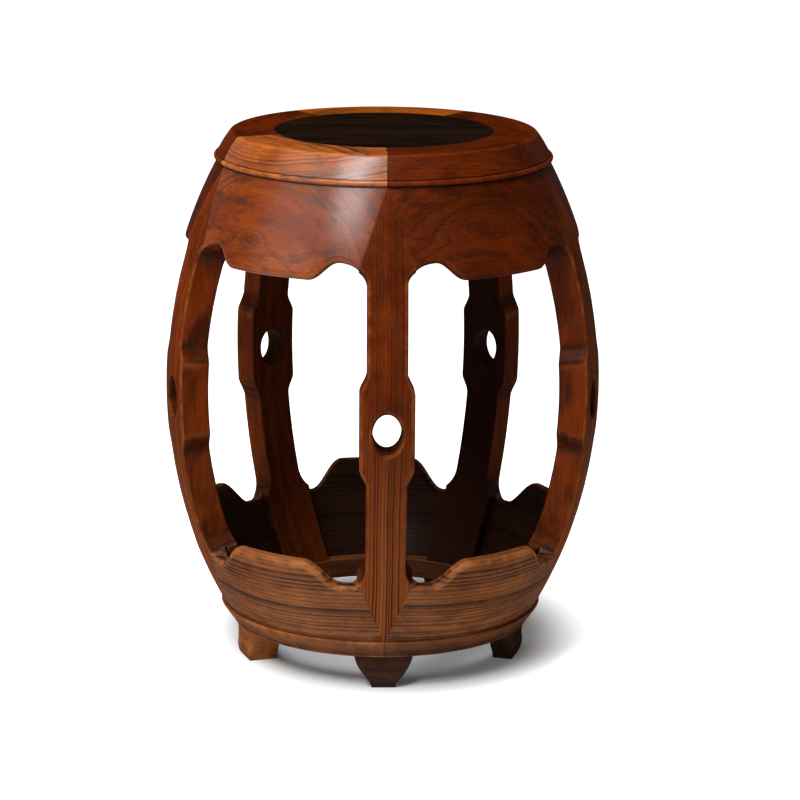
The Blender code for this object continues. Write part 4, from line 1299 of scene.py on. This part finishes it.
def soft_light(name, place, aim_height, width, length, power):
    lamp = bpy.data.lights.new(name, "AREA")
    lamp.shape = "RECTANGLE"
    lamp.size = width
    lamp.size_y = length
    lamp.energy = power
    holder = bpy.data.objects.new(name, lamp)
    holder.location = place
    aim = Vector((0, 0, aim_height)) - Vector(place)
    holder.rotation_euler = aim.to_track_quat("-Z", "Y").to_euler()
    bpy.context.collection.objects.link(holder)


def seen_rays(wire):
    """One for rays that show the background: seen directly, in a gloss or through glass."""
    rays = wire.add("ShaderNodeLightPath", {}).outputs
    shown = wire.math("MAXIMUM", rays["Is Glossy Ray"], rays["Is Transmission Ray"])
    return wire.math("MAXIMUM", rays["Is Camera Ray"], shown)


def paper_material():
    """White paper that glows to plain white past the stool's shadow, only where it is seen."""
    paper = bpy.data.materials.new("white_paper")
    paper.use_nodes = True
    wire = Wiring(paper.node_tree)
    shader = paper.node_tree.nodes["Principled BSDF"]
    from_middle = wire.vector("SUBTRACT", wire.place(), SHADOW_MIDDLE)
    from_shadow = wire.vector("LENGTH", wire.stretched(from_middle, SHADOW_SQUEEZE))
    glow = wire.times(wire.between(from_shadow, SHADOW_RADIUS, GLOW_RADIUS), seen_rays(wire))
    wire.feed(shader.inputs["Emission Strength"], glow)
    for socket, value in (("Base Color", PAPER), ("Roughness", PAPER_ROUGHNESS),
                          ("Specular IOR Level", 0), ("Emission Color", WHITE)):
        shader.inputs[socket].default_value = value
    return paper


def build_studio():
    bpy.ops.mesh.primitive_plane_add(size=FLOOR_SIZE, location=(0, 0, 0))
    floor = bpy.context.object
    floor.name = "studio_floor"
    floor.data.materials.append(paper_material())
    for name, settings in LIGHTS.items():
        soft_light(name, *settings)
    world = bpy.data.worlds.new("studio")
    world.use_nodes = True
    bpy.context.scene.world = world
    wire = Wiring(world.node_tree)
    background = world.node_tree.nodes["Background"]
    background.inputs["Color"].default_value = WHITE
    strength = wire.scaled(seen_rays(wire), 1 - SURROUND_LIGHT, SURROUND_LIGHT)
    wire.feed(background.inputs["Strength"], strength)
    bpy.context.scene.view_settings.view_transform = "Standard"


def build_camera():
    """Stands where the photographer stood: in front, well above the seat, slightly left."""
    lens = bpy.data.cameras.new("camera")
    lens.sensor_width = SENSOR_WIDTH
    lens.lens = FOCAL_LENGTH
    lens.shift_x = SIDE_SHIFT
    camera = bpy.data.objects.new("camera", lens)
    bpy.context.collection.objects.link(camera)
    place = Vector((CAMERA_DISTANCE * math.sin(CAMERA_SWING),
                    -CAMERA_DISTANCE * math.cos(CAMERA_SWING), CAMERA_HEIGHT))
    aim = Matrix.Rotation(CAMERA_SWING, 4, "Z") @ Matrix.Rotation(math.pi / 2 - CAMERA_DIP, 4, "X")
    camera.matrix_world = Matrix.Translation(place) @ aim @ Matrix.Rotation(CAMERA_ROLL, 4, "Z")
    bpy.context.scene.camera = camera


build_stool()
build_studio()
build_camera()
